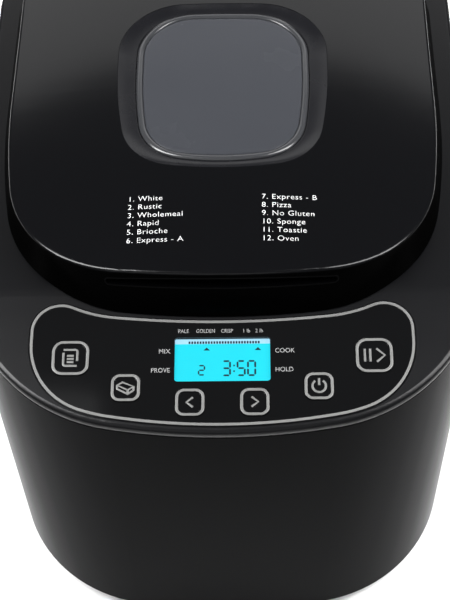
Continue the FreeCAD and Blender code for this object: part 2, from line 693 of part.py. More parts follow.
def sectors(outer, inner, z0, z1, span, first, count=4):
    """Equal pieces of a ring about the chamber's axis, each turned from the last."""
    pieces = []
    for i in range(count):
        piece = Part.makeCylinder(outer, z1 - z0, V(0, 0, z0), V(0, 0, 1), span)
        piece = piece.cut(disc(inner, z0 - 1.0, z1 + 1.0))
        piece.rotate(V(0, 0, 0), V(0, 0, 1), first - span / 2.0 + i * 360.0 / count)
        piece.translate(V(0, CHAMBER_Y, 0))
        pieces.append(piece)
    return pieces


# ---- Chassis, bearings and motor ----

def make_chassis_plate():
    """Steel plate under the chamber that carries the main bearing and the motor."""
    rear = block(150.0, 148.0, 12.0, PLATE_Z, PLATE_Z + PLATE_THICK, 0.0, CHAMBER_Y)
    front = block(84.0, 124.0, 12.0, PLATE_Z, PLATE_Z + PLATE_THICK, MOTOR_X, MOTOR_Y + 26.0)
    plate = rear.fuse(front)
    cuts = [disc(7.0, PLATE_Z - 1.0, PLATE_Z + 3.0, 0.0, CHAMBER_Y)]
    cuts += [disc(12.0, PLATE_Z - 1.0, PLATE_Z + 3.0, MOTOR_X, MOTOR_Y)]
    cuts += [disc(2.2, PLATE_Z - 1.0, PLATE_Z + 3.0, x, y) for x, y in POST_PLACES]
    for dx in (-44.0, 44.0):
        for dy in (-26.0, 26.0):
            cuts.append(disc(13.0, PLATE_Z - 1.0, PLATE_Z + 3.0, dx, CHAMBER_Y + dy))
    return plate.cut(Part.makeCompound(cuts))


def make_chamber_posts():
    top = CHAMBER_FLOOR - SHEET
    return Part.makeCompound(
        [ring(5.5, 2.2, PLATE_Z + PLATE_THICK, top, x, y) for x, y in POST_PLACES])


def make_chamber_screws():
    screws = []
    for x, y in POST_PLACES:
        shank = disc(2.0, PLATE_Z - 10.0, CHAMBER_FLOOR, x, y)
        head = disc(4.0, CHAMBER_FLOOR, CHAMBER_FLOOR + 2.2, x, y)
        slot = box(x - 3.0, x + 3.0, y - 0.5, y + 0.5, CHAMBER_FLOOR + 1.0, CHAMBER_FLOOR + 3.0)
        screws.append(shank.fuse(head).cut(slot))
    return Part.makeCompound(screws)


def make_bearing_housing():
    base = PLATE_Z + PLATE_THICK
    flange = disc(20.0, base, base + 2.0, 0.0, CHAMBER_Y)
    barrel = disc(11.0, base, CHAMBER_FLOOR - SHEET - 0.5, 0.0, CHAMBER_Y)
    return flange.fuse(barrel).cut(disc(BEARING_R, PLATE_Z, CHAMBER_FLOOR, 0.0, CHAMBER_Y))


def make_shaft_bearings():
    base = PLATE_Z + PLATE_THICK
    top = CHAMBER_FLOOR - SHEET - 0.5
    bore = SHAFT_R + RUNNING_FIT
    return Part.makeCompound([
        ring(BEARING_R, bore, base - 2.0, base + 6.0, 0.0, CHAMBER_Y),
        ring(BEARING_R, bore, top - 7.0, top, 0.0, CHAMBER_Y),
    ])


def make_main_shaft():
    return disc(SHAFT_R, PULLEY_Z - 2.0, COUPLING_Z + 4.0, 0.0, CHAMBER_Y)


def make_drive_coupling():
    hub = disc(7.0, COUPLING_Z - 1.0, COUPLING_Z + 4.0, 0.0, CHAMBER_Y)
    plate = disc(COUPLING_R, COUPLING_Z, COUPLING_Z + 4.0, 0.0, CHAMBER_Y)
    lugs = sectors(COUPLING_R, 9.0, COUPLING_Z + 3.0, COUPLING_Z + 10.5, LUG_SPAN, 0.0, 2)
    solid = fuse_all([hub, plate] + lugs)
    return solid.cut(disc(SHAFT_R, 0.0, COUPLING_Z + 4.0, 0.0, CHAMBER_Y))


def pulley(radius, flange, bore, x, y):
    """Pulley with two flanges and a plain land between them."""
    z0 = PULLEY_Z
    z1 = PULLEY_Z + PULLEY_H
    wheel = disc(radius, z0, z1, x, y)
    wheel = wheel.fuse(disc(flange, z0, z0 + 1.6, x, y))
    wheel = wheel.fuse(disc(flange, z1 - 1.6, z1, x, y))
    return wheel.cut(disc(bore, z0 - 1.0, z1 + 1.0, x, y))


def make_driven_pulley():
    wheel = pulley(BIG_PULLEY, BIG_PULLEY + 3.0, SHAFT_R, 0.0, CHAMBER_Y)
    z1 = PULLEY_Z + PULLEY_H
    recess = ring(BIG_PULLEY - 5.0, 12.0, PULLEY_Z + 5.0, z1 + 1.0, 0.0, CHAMBER_Y)
    wheel = wheel.cut(recess)
    windows = []
    for i in range(6):
        a = math.radians(60.0 * i)
        windows.append(disc(8.0, PULLEY_Z - 1.0, z1, 26.5 * math.cos(a), CHAMBER_Y + 26.5 * math.sin(a)))
    return wheel.cut(Part.makeCompound(windows))


def make_drive_belt():
    """Open flat belt round both pulleys, drawn at running size."""
    z0 = PULLEY_Z + 2.2
    z1 = PULLEY_Z + PULLEY_H - 2.2
    outer = belt_loop(BELT_GAP + BELT_THICK, z0, z1)
    return outer.cut(belt_loop(BELT_GAP, z0, z1))


def belt_loop(grow, z0, z1):
    big = V(0, CHAMBER_Y, 0)
    small = V(MOTOR_X, MOTOR_Y, 0)
    r1 = BIG_PULLEY + grow
    r2 = SMALL_PULLEY + grow
    line = small - big
    away = line.Length
    unit = V(line.x / away, line.y / away, 0)
    side = V(-unit.y, unit.x, 0)
    lean = (r1 - r2) / away
    rise = math.sqrt(1.0 - lean * lean)
    up = unit * lean + side * rise
    down = unit * lean - side * rise
    edges = [
        Part.LineSegment(big + up * r1, small + up * r2).toShape(),
        Part.Arc(small + up * r2, small + unit * r2, small + down * r2).toShape(),
        Part.LineSegment(small + down * r2, big + down * r1).toShape(),
        Part.Arc(big + down * r1, big - unit * r1, big + up * r1).toShape(),
    ]
    return prism(Part.Wire(edges), z0, z1)


def make_motor_laminations():
    stack = block(STACK_SIDE, STACK_SIDE, 5.0, STACK_Z, STACK_Z + STACK_H, MOTOR_X, MOTOR_Y)
    cuts = [disc(ROTOR_R + 0.5, STACK_Z - 1.0, STACK_Z + STACK_H + 1.0, MOTOR_X, MOTOR_Y)]
    for sx in (-1, 1):
        for sy in (-1, 1):
            cuts.append(disc(2.1, STACK_Z - 1.0, STACK_Z + STACK_H + 1.0,
                             MOTOR_X + sx * 31.0, MOTOR_Y + sy * 31.0))
    return stack.cut(Part.makeCompound(cuts))


def make_motor_windings():
    pieces = []
    for z in (STACK_Z - 9.0, STACK_Z + STACK_H):
        pieces.append(ring(29.0, 22.0, z, z + 9.0, MOTOR_X, MOTOR_Y))
    return Part.makeCompound(pieces)


def end_frame(z_face, z_cap):
    """Cup over one end of the stack, with four windows and a bearing boss."""
    low = min(z_face, z_cap)
    high = max(z_face, z_cap)
    cup = disc(34.0, low, high, MOTOR_X, MOTOR_Y)
    inner_low = low if z_face < z_cap else low + 2.0
    inner_high = high - 2.0 if z_face < z_cap else high
    cup = cup.cut(disc(31.5, inner_low, inner_high, MOTOR_X, MOTOR_Y))
    wide = box(MOTOR_X - 40.0, MOTOR_X + 40.0, MOTOR_Y - 9.0, MOTOR_Y + 9.0, low + 4.0, high - 4.0)
    deep = box(MOTOR_X - 9.0, MOTOR_X + 9.0, MOTOR_Y - 40.0, MOTOR_Y + 40.0, low + 4.0, high - 4.0)
    cup = cup.cut(wide).cut(deep)
    boss = disc(9.0, low + 0.01, low + 6.0, MOTOR_X, MOTOR_Y)
    if z_face < z_cap:
        boss = disc(9.0, high - 6.0, high - 0.01, MOTOR_X, MOTOR_Y)
    return cup.fuse(boss).cut(disc(MOTOR_SHAFT_R + RUNNING_FIT, low - 1.0, high + 1.0, MOTOR_X, MOTOR_Y))


def make_motor_end_frames():
    lower = end_frame(STACK_Z, PLATE_Z + PLATE_THICK)
    upper = end_frame(STACK_Z + STACK_H, STACK_Z + STACK_H + 16.0)
    return Part.makeCompound([lower, upper])


def make_motor_shaft():
    return disc(MOTOR_SHAFT_R, PULLEY_Z - 1.0, STACK_Z + STACK_H + 30.0, MOTOR_X, MOTOR_Y)


def make_motor_rotor():
    core = disc(ROTOR_R, STACK_Z, STACK_Z + STACK_H, MOTOR_X, MOTOR_Y)
    rings = disc(ROTOR_R - 2.0, STACK_Z - 3.0, STACK_Z + STACK_H + 3.0, MOTOR_X, MOTOR_Y)
    return core.fuse(rings).cut(disc(MOTOR_SHAFT_R, 0.0, 200.0, MOTOR_X, MOTOR_Y))


def make_motor_pulley():
    return pulley(SMALL_PULLEY, SMALL_PULLEY + 3.0, MOTOR_SHAFT_R, MOTOR_X, MOTOR_Y)


def make_motor_fan():
    z0 = STACK_Z + STACK_H + 18.0
    hub = disc(7.0, z0, z0 + 10.0, MOTOR_X, MOTOR_Y)
    disc_plate = disc(27.0, z0, z0 + 1.5, MOTOR_X, MOTOR_Y)
    blades = []
    for i in range(9):
        blade = box(6.0, 27.0, -0.8, 0.8, z0, z0 + 9.0)
        blade.rotate(V(0, 0, 0), V(0, 0, 1), 40.0 * i)
        blade.translate(V(MOTOR_X, MOTOR_Y, 0))
        blades.append(blade)
    fan = fuse_all([hub, disc_plate] + blades)
    return fan.cut(disc(MOTOR_SHAFT_R, 0.0, 200.0, MOTOR_X, MOTOR_Y))


def make_motor_screws():
    screws = []
    for sx in (-1, 1):
        for sy in (-1, 1):
            x = MOTOR_X + sx * 31.0
            y = MOTOR_Y + sy * 31.0
            shank = disc(2.0, PLATE_Z + PLATE_THICK, STACK_Z + STACK_H, x, y)
            head = disc(4.0, STACK_Z + STACK_H, STACK_Z + STACK_H + 3.0, x, y)
            spacer = disc(4.5, PLATE_Z + PLATE_THICK, STACK_Z, x, y)
            screws.append(fuse_all([shank, head, spacer]))
    return Part.makeCompound(screws)


def make_motor_capacitor():
    x = -22.0
    y = -128.0
    floor = TRAY_BOTTOM + TRAY_FLOOR
    can = disc(16.0, floor + 2.0, floor + 54.0, x, y)
    rims = [e for e in can.Edges if e.BoundBox.ZLength < 0.01]
    can = can.makeFillet(2.0, rims)
    cradle = ring(18.0, 16.0, floor, floor + 14.0, x, y).fuse(disc(18.0, floor, floor + 2.0, x, y))
    tabs = [box(x + dx - 2.0, x + dx + 2.0, y - 0.4, y + 0.4, floor + 53.0, floor + 62.0)
            for dx in (-6.0, 6.0)]
    return fuse_all([can, cradle] + tabs)


def make_power_board():
    """Supply board standing on the tray in front of the chamber, with its relay and transformer."""
    floor = TRAY_BOTTOM + TRAY_FLOOR
    y = -92.0
    board = box(-128.0, -48.0, y, y + 1.6, floor + 8.0, floor + 108.0)
    rails = [box(x, x + 4.0, y - 3.0, y + 4.6, floor, floor + 16.0) for x in (-128.0, -52.0)]
    transformer = box(-120.0, -88.0, y - 28.0, y, floor + 18.0, floor + 48.0)
    relay = box(-80.0, -62.0, y - 16.0, y, floor + 22.0, floor + 52.0)
    heatsink = box(-118.0, -86.0, y - 3.0, y, floor + 62.0, floor + 96.0)
    fins = [box(x, x + 1.4, y - 14.0, y - 2.0, floor + 62.0, floor + 96.0)
            for x in [-118.0 + 5.1 * i for i in range(7)]]
    connector = box(-78.0, -56.0, y - 9.0, y, floor + 74.0, floor + 86.0)
    return fuse_all([board, transformer, relay, heatsink, connector] + rails + fins)


# ---- Pan, paddle and handle ----

def loft_block(z0, width0, depth0, radius0, z1, width1, depth1, radius1):
    low = rounded_rectangle(width0, depth0, radius0, 0.0, CHAMBER_Y, z0)
    high = rounded_rectangle(width1, depth1, radius1, 0.0, CHAMBER_Y, z1)
    return Part.makeLoft([low, high], True, True)


def make_bread_pan():
    d = 2.0 * PAN_DRAFT
    outside = loft_block(PAN_FLOOR, PAN_W - d, PAN_D - d, PAN_R, PAN_TOP, PAN_W, PAN_D, PAN_R)
    foot_edges = [e for e in outside.Edges if e.BoundBox.ZMax < PAN_FLOOR + 0.01]
    outside = outside.makeFillet(5.0, foot_edges)
    w = 2.0 * PAN_WALL
    inside = loft_block(PAN_FLOOR + 2.0, PAN_W - d - w, PAN_D - d - w, PAN_R - PAN_WALL,
                        PAN_TOP + 1.0, PAN_W - w, PAN_D - w, PAN_R - PAN_WALL)
    foot_edges = [e for e in inside.Edges if e.BoundBox.ZMax < PAN_FLOOR + 2.01]
    inside = inside.makeFillet(4.0, foot_edges)
    lip = block(PAN_W + 6.0, PAN_D + 6.0, PAN_R + 3.0, PAN_TOP - 3.0, PAN_TOP, 0.0, CHAMBER_Y)
    lip_edges = [e for e in lip.Edges if e.BoundBox.ZLength < 0.01]
    lip = lip.makeFillet(1.2, lip_edges)
    pan = outside.fuse(lip).cut(inside)
    holes = [disc(BUSH_R, PAN_FLOOR - 1.0, PAN_FLOOR + 4.0, 0.0, CHAMBER_Y)]
    holes += [rod_x(RIVET_R, -PAN_W, PAN_W, CHAMBER_Y + dy, PAN_TOP - 10.0) for dy in RIVET_PITCH]
    return pan.cut(Part.makeCompound(holes))


def make_pan_foot():
    """Cast ring under the pan with four lugs that turn under the seat's hooks."""
    low = CHAMBER_FLOOR + 2.1
    wall = ring(44.0, 40.0, low, PAN_FLOOR, 0.0, CHAMBER_Y)
    lugs = sectors(51.5, 43.0, CHAMBER_FLOOR + 4.5, CHAMBER_FLOOR + 8.5, HOOK_SPAN, 45.0)
    return fuse_all([wall] + lugs)


def make_pan_bush():
    flange = disc(15.0, PAN_FLOOR - 1.5, PAN_FLOOR, 0.0, CHAMBER_Y)
    barrel = disc(BUSH_R, PAN_FLOOR - 1.5, PAN_FLOOR + 3.6, 0.0, CHAMBER_Y)
    return flange.fuse(barrel).cut(disc(SHAFT_R + RUNNING_FIT, 0.0, 200.0, 0.0, CHAMBER_Y))


def make_pan_ears():
    """Two riveted ears that hold the handle's ends."""
    ears = []
    for side in (-1, 1):
        x0, x1 = sorted((side * (PAN_W / 2.0 - 1.0), side * (PAN_W / 2.0 + 0.6)))
        inner0, inner1 = sorted((side * (PAN_W / 2.0 - PAN_WALL - 1.6), side * (PAN_W / 2.0 - PAN_WALL)))
        tab = box(inner0, inner1, CHAMBER_Y - 9.0, CHAMBER_Y + 9.0, PAN_TOP - 16.0, PIVOT_Z)
        dome = rod_x(9.0, inner0, inner1, CHAMBER_Y, PIVOT_Z - 1.0)
        ear = tab.fuse(dome)
        rivets = [rod_x(RIVET_R, min(inner0, x0), max(inner1, x1), CHAMBER_Y + dy, PAN_TOP - 10.0)
                  for dy in RIVET_PITCH]
        ear = fuse_all([ear] + rivets)
        ears.append(ear.cut(rod_x(HANDLE_WIRE + 0.05, inner0 - 1.0, inner1 + 1.0, CHAMBER_Y, PIVOT_Z)))
    return Part.makeCompound(ears).cut(PLACED["bread_pan"])


def make_pan_handle():
    """Bent wire bail, folded down towards the back, with its ends through the ears."""
    inner = PAN_W / 2.0 - PAN_WALL - 1.6
    arm = inner - 4.5
    reach = CHAMBER_Y + PAN_D / 2.0 - 1.0
    z = PIVOT_Z
    points = [V(-inner - 1.6, CHAMBER_Y, z), V(-arm, CHAMBER_Y, z), V(-arm, reach, z), V(0, reach, z)]
    wire = tube_path(points[:3], 4.0)
    join = wire.Edges[-2].lastVertex().Point
    edges = list(wire.Edges)[:-1] + list(tube_path([join] + points[2:], 18.0).Edges)
    circle = Part.Wire(Part.Circle(points[0], V(1, 0, 0), HANDLE_WIRE).toShape())
    half = Part.Wire(edges).makePipeShell([circle], True, False)
    return half.fuse(mirrored(half))


def make_pan_shaft():
    low = COUPLING_Z + 13.0
    shaft = disc(SHAFT_R, low, PAN_FLOOR + 24.0, 0.0, CHAMBER_Y)
    flat = box(SHAFT_R - 1.0, SHAFT_R + 1.0, CHAMBER_Y - 5.0, CHAMBER_Y + 5.0,
               PAN_FLOOR + 6.0, PAN_FLOOR + 25.0)
    return shaft.cut(flat)


def make_pan_coupling():
    z0 = COUPLING_Z + 11.5
    hub = disc(COUPLING_R, z0, z0 + 3.2, 0.0, CHAMBER_Y)
    wings = sectors(COUPLING_R, 9.0, COUPLING_Z + 4.6, z0 + 1.0, LUG_SPAN, 90.0, 2)
    return fuse_all([hub] + wings).cut(make_pan_shaft())


def make_kneading_paddle():
    z0 = PAN_FLOOR + 4.2
    hub = Part.makeCone(12.0, 9.0, 28.0, V(0, CHAMBER_Y, z0), V(0, 0, 1))
    cap = Part.makeSphere(9.0, V(0, CHAMBER_Y, z0 + 28.0)).common(
        disc(12.0, z0 + 28.0, z0 + 33.0, 0.0, CHAMBER_Y))
    blade = blade_solid(z0)
    paddle = fuse_all([hub, cap, blade])
    bore = make_pan_shaft()
    return paddle.cut(bore)


def blade_solid(z0):
    """Swept fin that stands taller at its outer end."""
    reach = 50.0
    points = [V(0, 0, z0), V(reach, 0, z0), V(reach + 2.0, 0, z0 + 14.0), V(reach - 4.0, 0, z0 + 26.0),
              V(reach - 14.0, 0, z0 + 28.0), V(8.0, 0, z0 + 16.0), V(0, 0, z0 + 16.0)]
    face = Part.Face(Part.makePolygon(points + [points[0]]))
    face.translate(V(0, -3.0, 0))
    fin = face.extrude(V(0, 6.0, 0))
    upright = [e for e in fin.Edges if e.BoundBox.YLength > 5.0 and e.BoundBox.XMax > 20.0]
    fin = fin.makeFillet(4.0, upright[:4])
    fin.translate(V(0, CHAMBER_Y, 0))
    return fin


# ---- Lid ----

def lid_solid(inset, lowered, bottom, z_bottom=258.0):
    low = lid_outline(z_bottom, inset)
    high = lid_outline(LID_TOP + 6.0, inset)
    body = Part.makeLoft([low, high], True, True)
    return body.common(crown(lowered)).cut(under_deck_surface(bottom))


def grip_prism(shrink, y0, y1):
    """Long slot with round ends, arched like the lid's rim and extruded along Y."""
    shoulder = GRIP_HALF - GRIP_END
    end = GRIP_HALF - shrink
    top = GRIP_HIGH - shrink
    low = GRIP_LOW + shrink
    top_end = top - shoulder ** 2 / (2.0 * GRIP_ARCH_HIGH)
    low_end = low - shoulder ** 2 / (2.0 * GRIP_ARCH_LOW)
    middle = (top_end + low_end) / 2.0
    edges = [
        Part.Arc(V(-shoulder, y0, top_end), V(0, y0, top), V(shoulder, y0, top_end)).toShape(),
        Part.Arc(V(shoulder, y0, top_end), V(end, y0, middle), V(shoulder, y0, low_end)).toShape(),
        Part.Arc(V(shoulder, y0, low_end), V(0, y0, low), V(-shoulder, y0, low_end)).toShape(),
        Part.Arc(V(-shoulder, y0, low_end), V(-end, y0, middle), V(-shoulder, y0, top_end)).toShape(),
    ]
    return Part.Face(Part.Wire(edges)).extrude(V(0, y1 - y0, 0))


def make_lid_cover():
    outside = lid_solid(0.0, 0.0, LID_GAP)
    rim = []
    for edge in outside.Edges:
        middle = edge.valueAt((edge.FirstParameter + edge.LastParameter) / 2.0)
        if abs(middle.z - crown_z(middle.x, middle.y)) < 0.3 and edge.Length > 1.0:
            rim.append(edge)
    outside = outside.makeFillet(LID_RIM, rim)
    inside = lid_solid(LID_WALL, LID_WALL, -8.0)
    cover = outside.cut(inside)
    cover = cover.cut(prism(bezel_outline(), 250.0, 320.0))
    cover = cover.cut(grip_prism(0.0, -130.0, -80.0))
    vents = []
    for i in range(9):
        vents.append(block(3.0, 16.0, 1.49, 280.0, 310.0, -48.0 + 12.0 * i, 126.0))
    cover = cover.cut(Part.makeCompound(vents))
    bosses = [disc(5.0, LINER_Z + SHEET, crown_z(x, y) - 1.0, x, y) for x, y in LID_BOSSES]
    ears = []
    for side in (-1, 1):
        x = side * HINGE_X
        ear = rod_x(HINGE_EAR, x - 7.0, x + 7.0, HINGE_Y, HINGE_Z)
        web = box(x - 7.0, x + 7.0, LID_BACK_Y - 3.2, HINGE_Y, HINGE_Z - 5.0, HINGE_Z + HINGE_EAR)
        ears.append(ear.fuse(web))
    cover = fuse_all([cover] + bosses + ears)
    cuts = [rod_x(HINGE_PIN + 0.05, side * HINGE_X - 9.0, side * HINGE_X + 9.0, HINGE_Y, HINGE_Z)
            for side in (-1, 1)]
    cuts += [disc(1.6, LINER_Z - 1.0, crown_z(x, y) - 5.0, x, y) for x, y in LID_BOSSES]
    return cover.cut(Part.makeCompound(cuts))


def make_window_bezel():
    frame = prism(bezel_outline(0.1), 250.0, 320.0).common(crown(0.3)).cut(crown(4.2))
    flange = prism(bezel_outline(-4.0), 250.0, 320.0).common(crown(LID_WALL + 0.05)).cut(crown(4.2))
    ledge = prism(window_outline(), 250.0, 320.0).common(crown(3.6)).cut(crown(5.4))
    bezel = frame.cut(prism(window_outline(), 250.0, 320.0)).fuse(flange)
    bezel = bezel.cut(prism(window_outline(), 250.0, 320.0)).fuse(ledge)
    return bezel.cut(prism(window_outline(3.0), 250.0, 320.0))


def make_window_glass():
    return prism(window_outline(0.05), 250.0, 320.0).common(crown(1.2)).cut(crown(3.6))


def make_lid_inner_liner():
    plate = block(LINER_W, LINER_D, 40.0, LINER_Z, LINER_Z + SHEET, 0.0, CHAMBER_Y)
    rim = block(LINER_W, LINER_D, 40.0, LINER_Z, LINER_Z + 6.0, 0.0, CHAMBER_Y).cut(
        block(LINER_W - 2.0 * SHEET, LINER_D - 2.0 * SHEET, 40.0 - SHEET, LINER_Z - 1.0, LINER_Z + 7.0,
              0.0, CHAMBER_Y))
    liner = plate.fuse(rim)
    holes = [disc(2.0, LINER_Z - 1.0, LINER_Z + 2.0, x, y) for x, y in LID_BOSSES]
    holes += [block(3.0, 10.0, 1.49, LINER_Z - 1.0, LINER_Z + 2.0, -48.0 + 12.0 * i, 126.0) for i in range(9)]
    holes.append(block(INNER_GLASS_W, INNER_GLASS_D, 26.0, LINER_Z - 1.0, LINER_Z + 2.0, 0.0, CHAMBER_Y))
    return liner.cut(Part.makeCompound(holes))


def make_inner_glass():
    pane = block(INNER_GLASS_W - 0.1, INNER_GLASS_D - 0.1, 25.9, LINER_Z - 0.6, LINER_Z + SHEET,
                 0.0, CHAMBER_Y)
    return pane.fuse(block(INNER_GLASS_W + 10.0, INNER_GLASS_D + 10.0, 30.0, LINER_Z + SHEET,
                           LINER_Z + SHEET + 2.4, 0.0, CHAMBER_Y))


def make_lid_seal():
    """Silicone ring under the liner's edge, just clear of the deck when the lid is closed."""
    low = DECK_Z + 0.5
    outside = block(LINER_W, LINER_D, 40.0, low, LINER_Z, 0.0, CHAMBER_Y)
    width = 2.0 * SEAL_WIDTH
    return outside.cut(block(LINER_W - width, LINER_D - width, 40.0 - SEAL_WIDTH, low - 1.0, LINER_Z + 1.0,
                             0.0, CHAMBER_Y))


def make_lid_grip():
    """Finger pocket let into the lid's front skirt."""
    whole = lid_solid(0.0, 0.0, LID_GAP)
    pocket = grip_prism(0.0, -130.0, GRIP_BACK_Y).common(whole)
    return pocket.cut(grip_prism(GRIP_WALL, -130.0, GRIP_BACK_Y - 2.0))


def make_lid_screws():
    screws = []
    for x, y in LID_BOSSES:
        shank = disc(1.6, LINER_Z, LINER_Z + 14.0, x, y)
        head = disc(3.2, LINER_Z - 1.8, LINER_Z, x, y)
        slot = box(x - 2.4, x + 2.4, y - 0.4, y + 0.4, LINER_Z - 2.0, LINER_Z - 1.0)
        screws.append(shank.fuse(head).cut(slot))
    return Part.makeCompound(screws)


def make_hinge_pins():
    pins = [rod_x(HINGE_PIN, side * HINGE_X - 15.0, side * HINGE_X + 15.0, HINGE_Y, HINGE_Z)
            for side in (-1, 1)]
    return Part.makeCompound(pins)


MAKERS = (
    ("base_tray", make_base_tray),
    ("rubber_feet", make_rubber_feet),
    ("base_screws", make_base_screws),
    ("outer_shell", make_outer_shell),
    ("cord_gland", make_cord_gland),
    ("top_deck", make_top_deck),
    ("panel_trim", make_panel_trim),
    ("control_panel", make_control_panel),
    ("lcd_window", make_lcd_window),
    ("lcd_module", make_lcd_module),
    ("control_board", make_control_board),
    ("tact_switches", make_tact_switches),
    ("oven_liner", make_oven_liner),
    ("heating_element", make_heating_element),
    ("element_terminals", make_element_terminals),
    ("element_brackets", make_element_brackets),
    ("temperature_sensor", make_temperature_sensor),
    ("pan_seat", make_pan_seat),
    ("chassis_plate", make_chassis_plate),
    ("chamber_posts", make_chamber_posts),
    ("chamber_screws", make_chamber_screws),
    ("bearing_housing", make_bearing_housing),
    ("shaft_bearings", make_shaft_bearings),
    ("main_shaft", make_main_shaft),
    ("drive_coupling", make_drive_coupling),
    ("driven_pulley", make_driven_pulley),
    ("drive_belt", make_drive_belt),
    ("motor_laminations", make_motor_laminations),
    ("motor_windings", make_motor_windings),
    ("motor_end_frames", make_motor_end_frames),
    ("motor_screws", make_motor_screws),
    ("motor_shaft", make_motor_shaft),
    ("motor_rotor", make_motor_rotor),
    ("motor_pulley", make_motor_pulley),
    ("motor_fan", make_motor_fan),
    ("motor_capacitor", make_motor_capacitor),
    ("power_board", make_power_board),
    ("bread_pan", make_bread_pan),
    ("pan_foot", make_pan_foot),
    ("pan_bush", make_pan_bush),
    ("pan_ears", make_pan_ears),
    ("pan_handle", make_pan_handle),
    ("pan_shaft", make_pan_shaft),
    ("pan_coupling", make_pan_coupling),
    ("kneading_paddle", make_kneading_paddle),
    ("lid_cover", make_lid_cover),
    ("window_bezel", make_window_bezel),
    ("window_glass", make_window_glass),
    ("lid_inner_liner", make_lid_inner_liner),
    ("inner_glass", make_inner_glass),
    ("lid_seal", make_lid_seal),
    ("lid_grip", make_lid_grip),
    ("lid_screws", make_lid_screws),
    ("hinge_pins", make_hinge_pins),
)

os.makedirs("parts", exist_ok=True)
for node, maker in MAKERS:
    export(node, maker())
for name, x, y, size in BUTTONS:
    export(name, make_button(x, y, size))
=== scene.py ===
import json
import math

import bpy
from mathutils import Matrix, Vector


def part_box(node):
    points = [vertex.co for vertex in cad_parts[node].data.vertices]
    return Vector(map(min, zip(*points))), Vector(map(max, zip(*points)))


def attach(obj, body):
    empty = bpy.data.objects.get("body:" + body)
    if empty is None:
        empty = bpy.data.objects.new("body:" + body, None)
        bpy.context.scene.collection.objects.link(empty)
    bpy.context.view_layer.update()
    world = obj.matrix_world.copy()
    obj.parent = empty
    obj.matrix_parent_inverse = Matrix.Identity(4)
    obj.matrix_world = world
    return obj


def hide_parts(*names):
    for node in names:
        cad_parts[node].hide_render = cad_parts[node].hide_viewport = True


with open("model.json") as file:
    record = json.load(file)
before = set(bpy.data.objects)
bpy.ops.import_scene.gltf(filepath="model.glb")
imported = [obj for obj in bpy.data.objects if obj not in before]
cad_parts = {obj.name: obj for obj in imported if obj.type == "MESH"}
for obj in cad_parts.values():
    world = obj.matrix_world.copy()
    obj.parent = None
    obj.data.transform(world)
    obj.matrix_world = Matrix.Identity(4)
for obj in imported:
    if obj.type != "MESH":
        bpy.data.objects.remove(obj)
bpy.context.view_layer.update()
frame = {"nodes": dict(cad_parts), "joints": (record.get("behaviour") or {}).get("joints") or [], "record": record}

MM = 0.001
NODES = frame["nodes"]
JOINTS = {joint["name"]: joint for joint in frame["joints"]}

# ---- Camera ----
CAMERA_PLACE = Vector((0.0191, -0.5588, 0.9358))
CAMERA_TILT = math.radians(55.6)      # below the horizon
CAMERA_ROLL = 0.0095                  # radians
CAMERA_LENS = 85.9                    # millimetres, on the sensor below
CAMERA_SENSOR = 36.0
CAMERA_SHIFT = -0.052


def make_camera():
    """Camera above the front, tilted down, with a slight roll and sideways shift."""
    data = bpy.data.cameras.new("camera")
    data.lens = CAMERA_LENS
    data.sensor_width = CAMERA_SENSOR
    data.shift_x = CAMERA_SHIFT
    data.clip_start = 0.01
    data.clip_end = 50.0
    camera = bpy.data.objects.new("camera", data)
    bpy.context.scene.collection.objects.link(camera)
    right = Vector((1, 0, 0))
    up = Vector((0, math.sin(CAMERA_TILT), math.cos(CAMERA_TILT)))
    back = Vector((0, -math.cos(CAMERA_TILT), math.sin(CAMERA_TILT)))
    rolled_right = right * math.cos(CAMERA_ROLL) - up * math.sin(CAMERA_ROLL)
    rolled_up = right * math.sin(CAMERA_ROLL) + up * math.cos(CAMERA_ROLL)
    turn = Matrix((rolled_right, rolled_up, back)).transposed().to_4x4()
    camera.matrix_world = Matrix.Translation(CAMERA_PLACE) @ turn
    bpy.context.scene.camera = camera


make_camera()


# ---- Materials ----

def node_material(name):
    """A new node-based material, with its tree and its main shader."""
    material = bpy.data.materials.new(name)
    material.use_nodes = True
    shader = material.node_tree.nodes["Principled BSDF"]
    return material, material.node_tree, shader


def noise(tree, scale, detail=3.0, stretch=(1.0, 1.0, 1.0)):
    """Noise over the object's own coordinates; scale is in cycles per metre."""
    place = tree.nodes.new("ShaderNodeTexCoord")
    spread = tree.nodes.new("ShaderNodeMapping")
    spread.inputs["Scale"].default_value = stretch
    texture = tree.nodes.new("ShaderNodeTexNoise")
    texture.inputs["Scale"].default_value = scale
    texture.inputs["Detail"].default_value = detail
    tree.links.new(place.outputs["Object"], spread.inputs["Vector"])
    tree.links.new(spread.outputs["Vector"], texture.inputs["Vector"])
    return texture.outputs["Fac"]


def mapped(tree, value, low, high, near=0.3, far=0.7):
    """Spreads a noise value between two limits."""
    spread = tree.nodes.new("ShaderNodeMapRange")
    spread.inputs["From Min"].default_value = near
    spread.inputs["From Max"].default_value = far
    spread.inputs["To Min"].default_value = low
    spread.inputs["To Max"].default_value = high
    tree.links.new(value, spread.inputs["Value"])
    return spread.outputs["Result"]


def bump(tree, shader, height, depth):
    """Adds one layer of relief; depth is in metres."""
    layer = tree.nodes.new("ShaderNodeBump")
    layer.inputs["Strength"].default_value = 1.0
    layer.inputs["Distance"].default_value = depth
    tree.links.new(height, layer.inputs["Height"])
    if shader.inputs["Normal"].is_linked:
        tree.links.new(shader.inputs["Normal"].links[0].from_socket, layer.inputs["Normal"])
    tree.links.new(layer.outputs["Normal"], shader.inputs["Normal"])


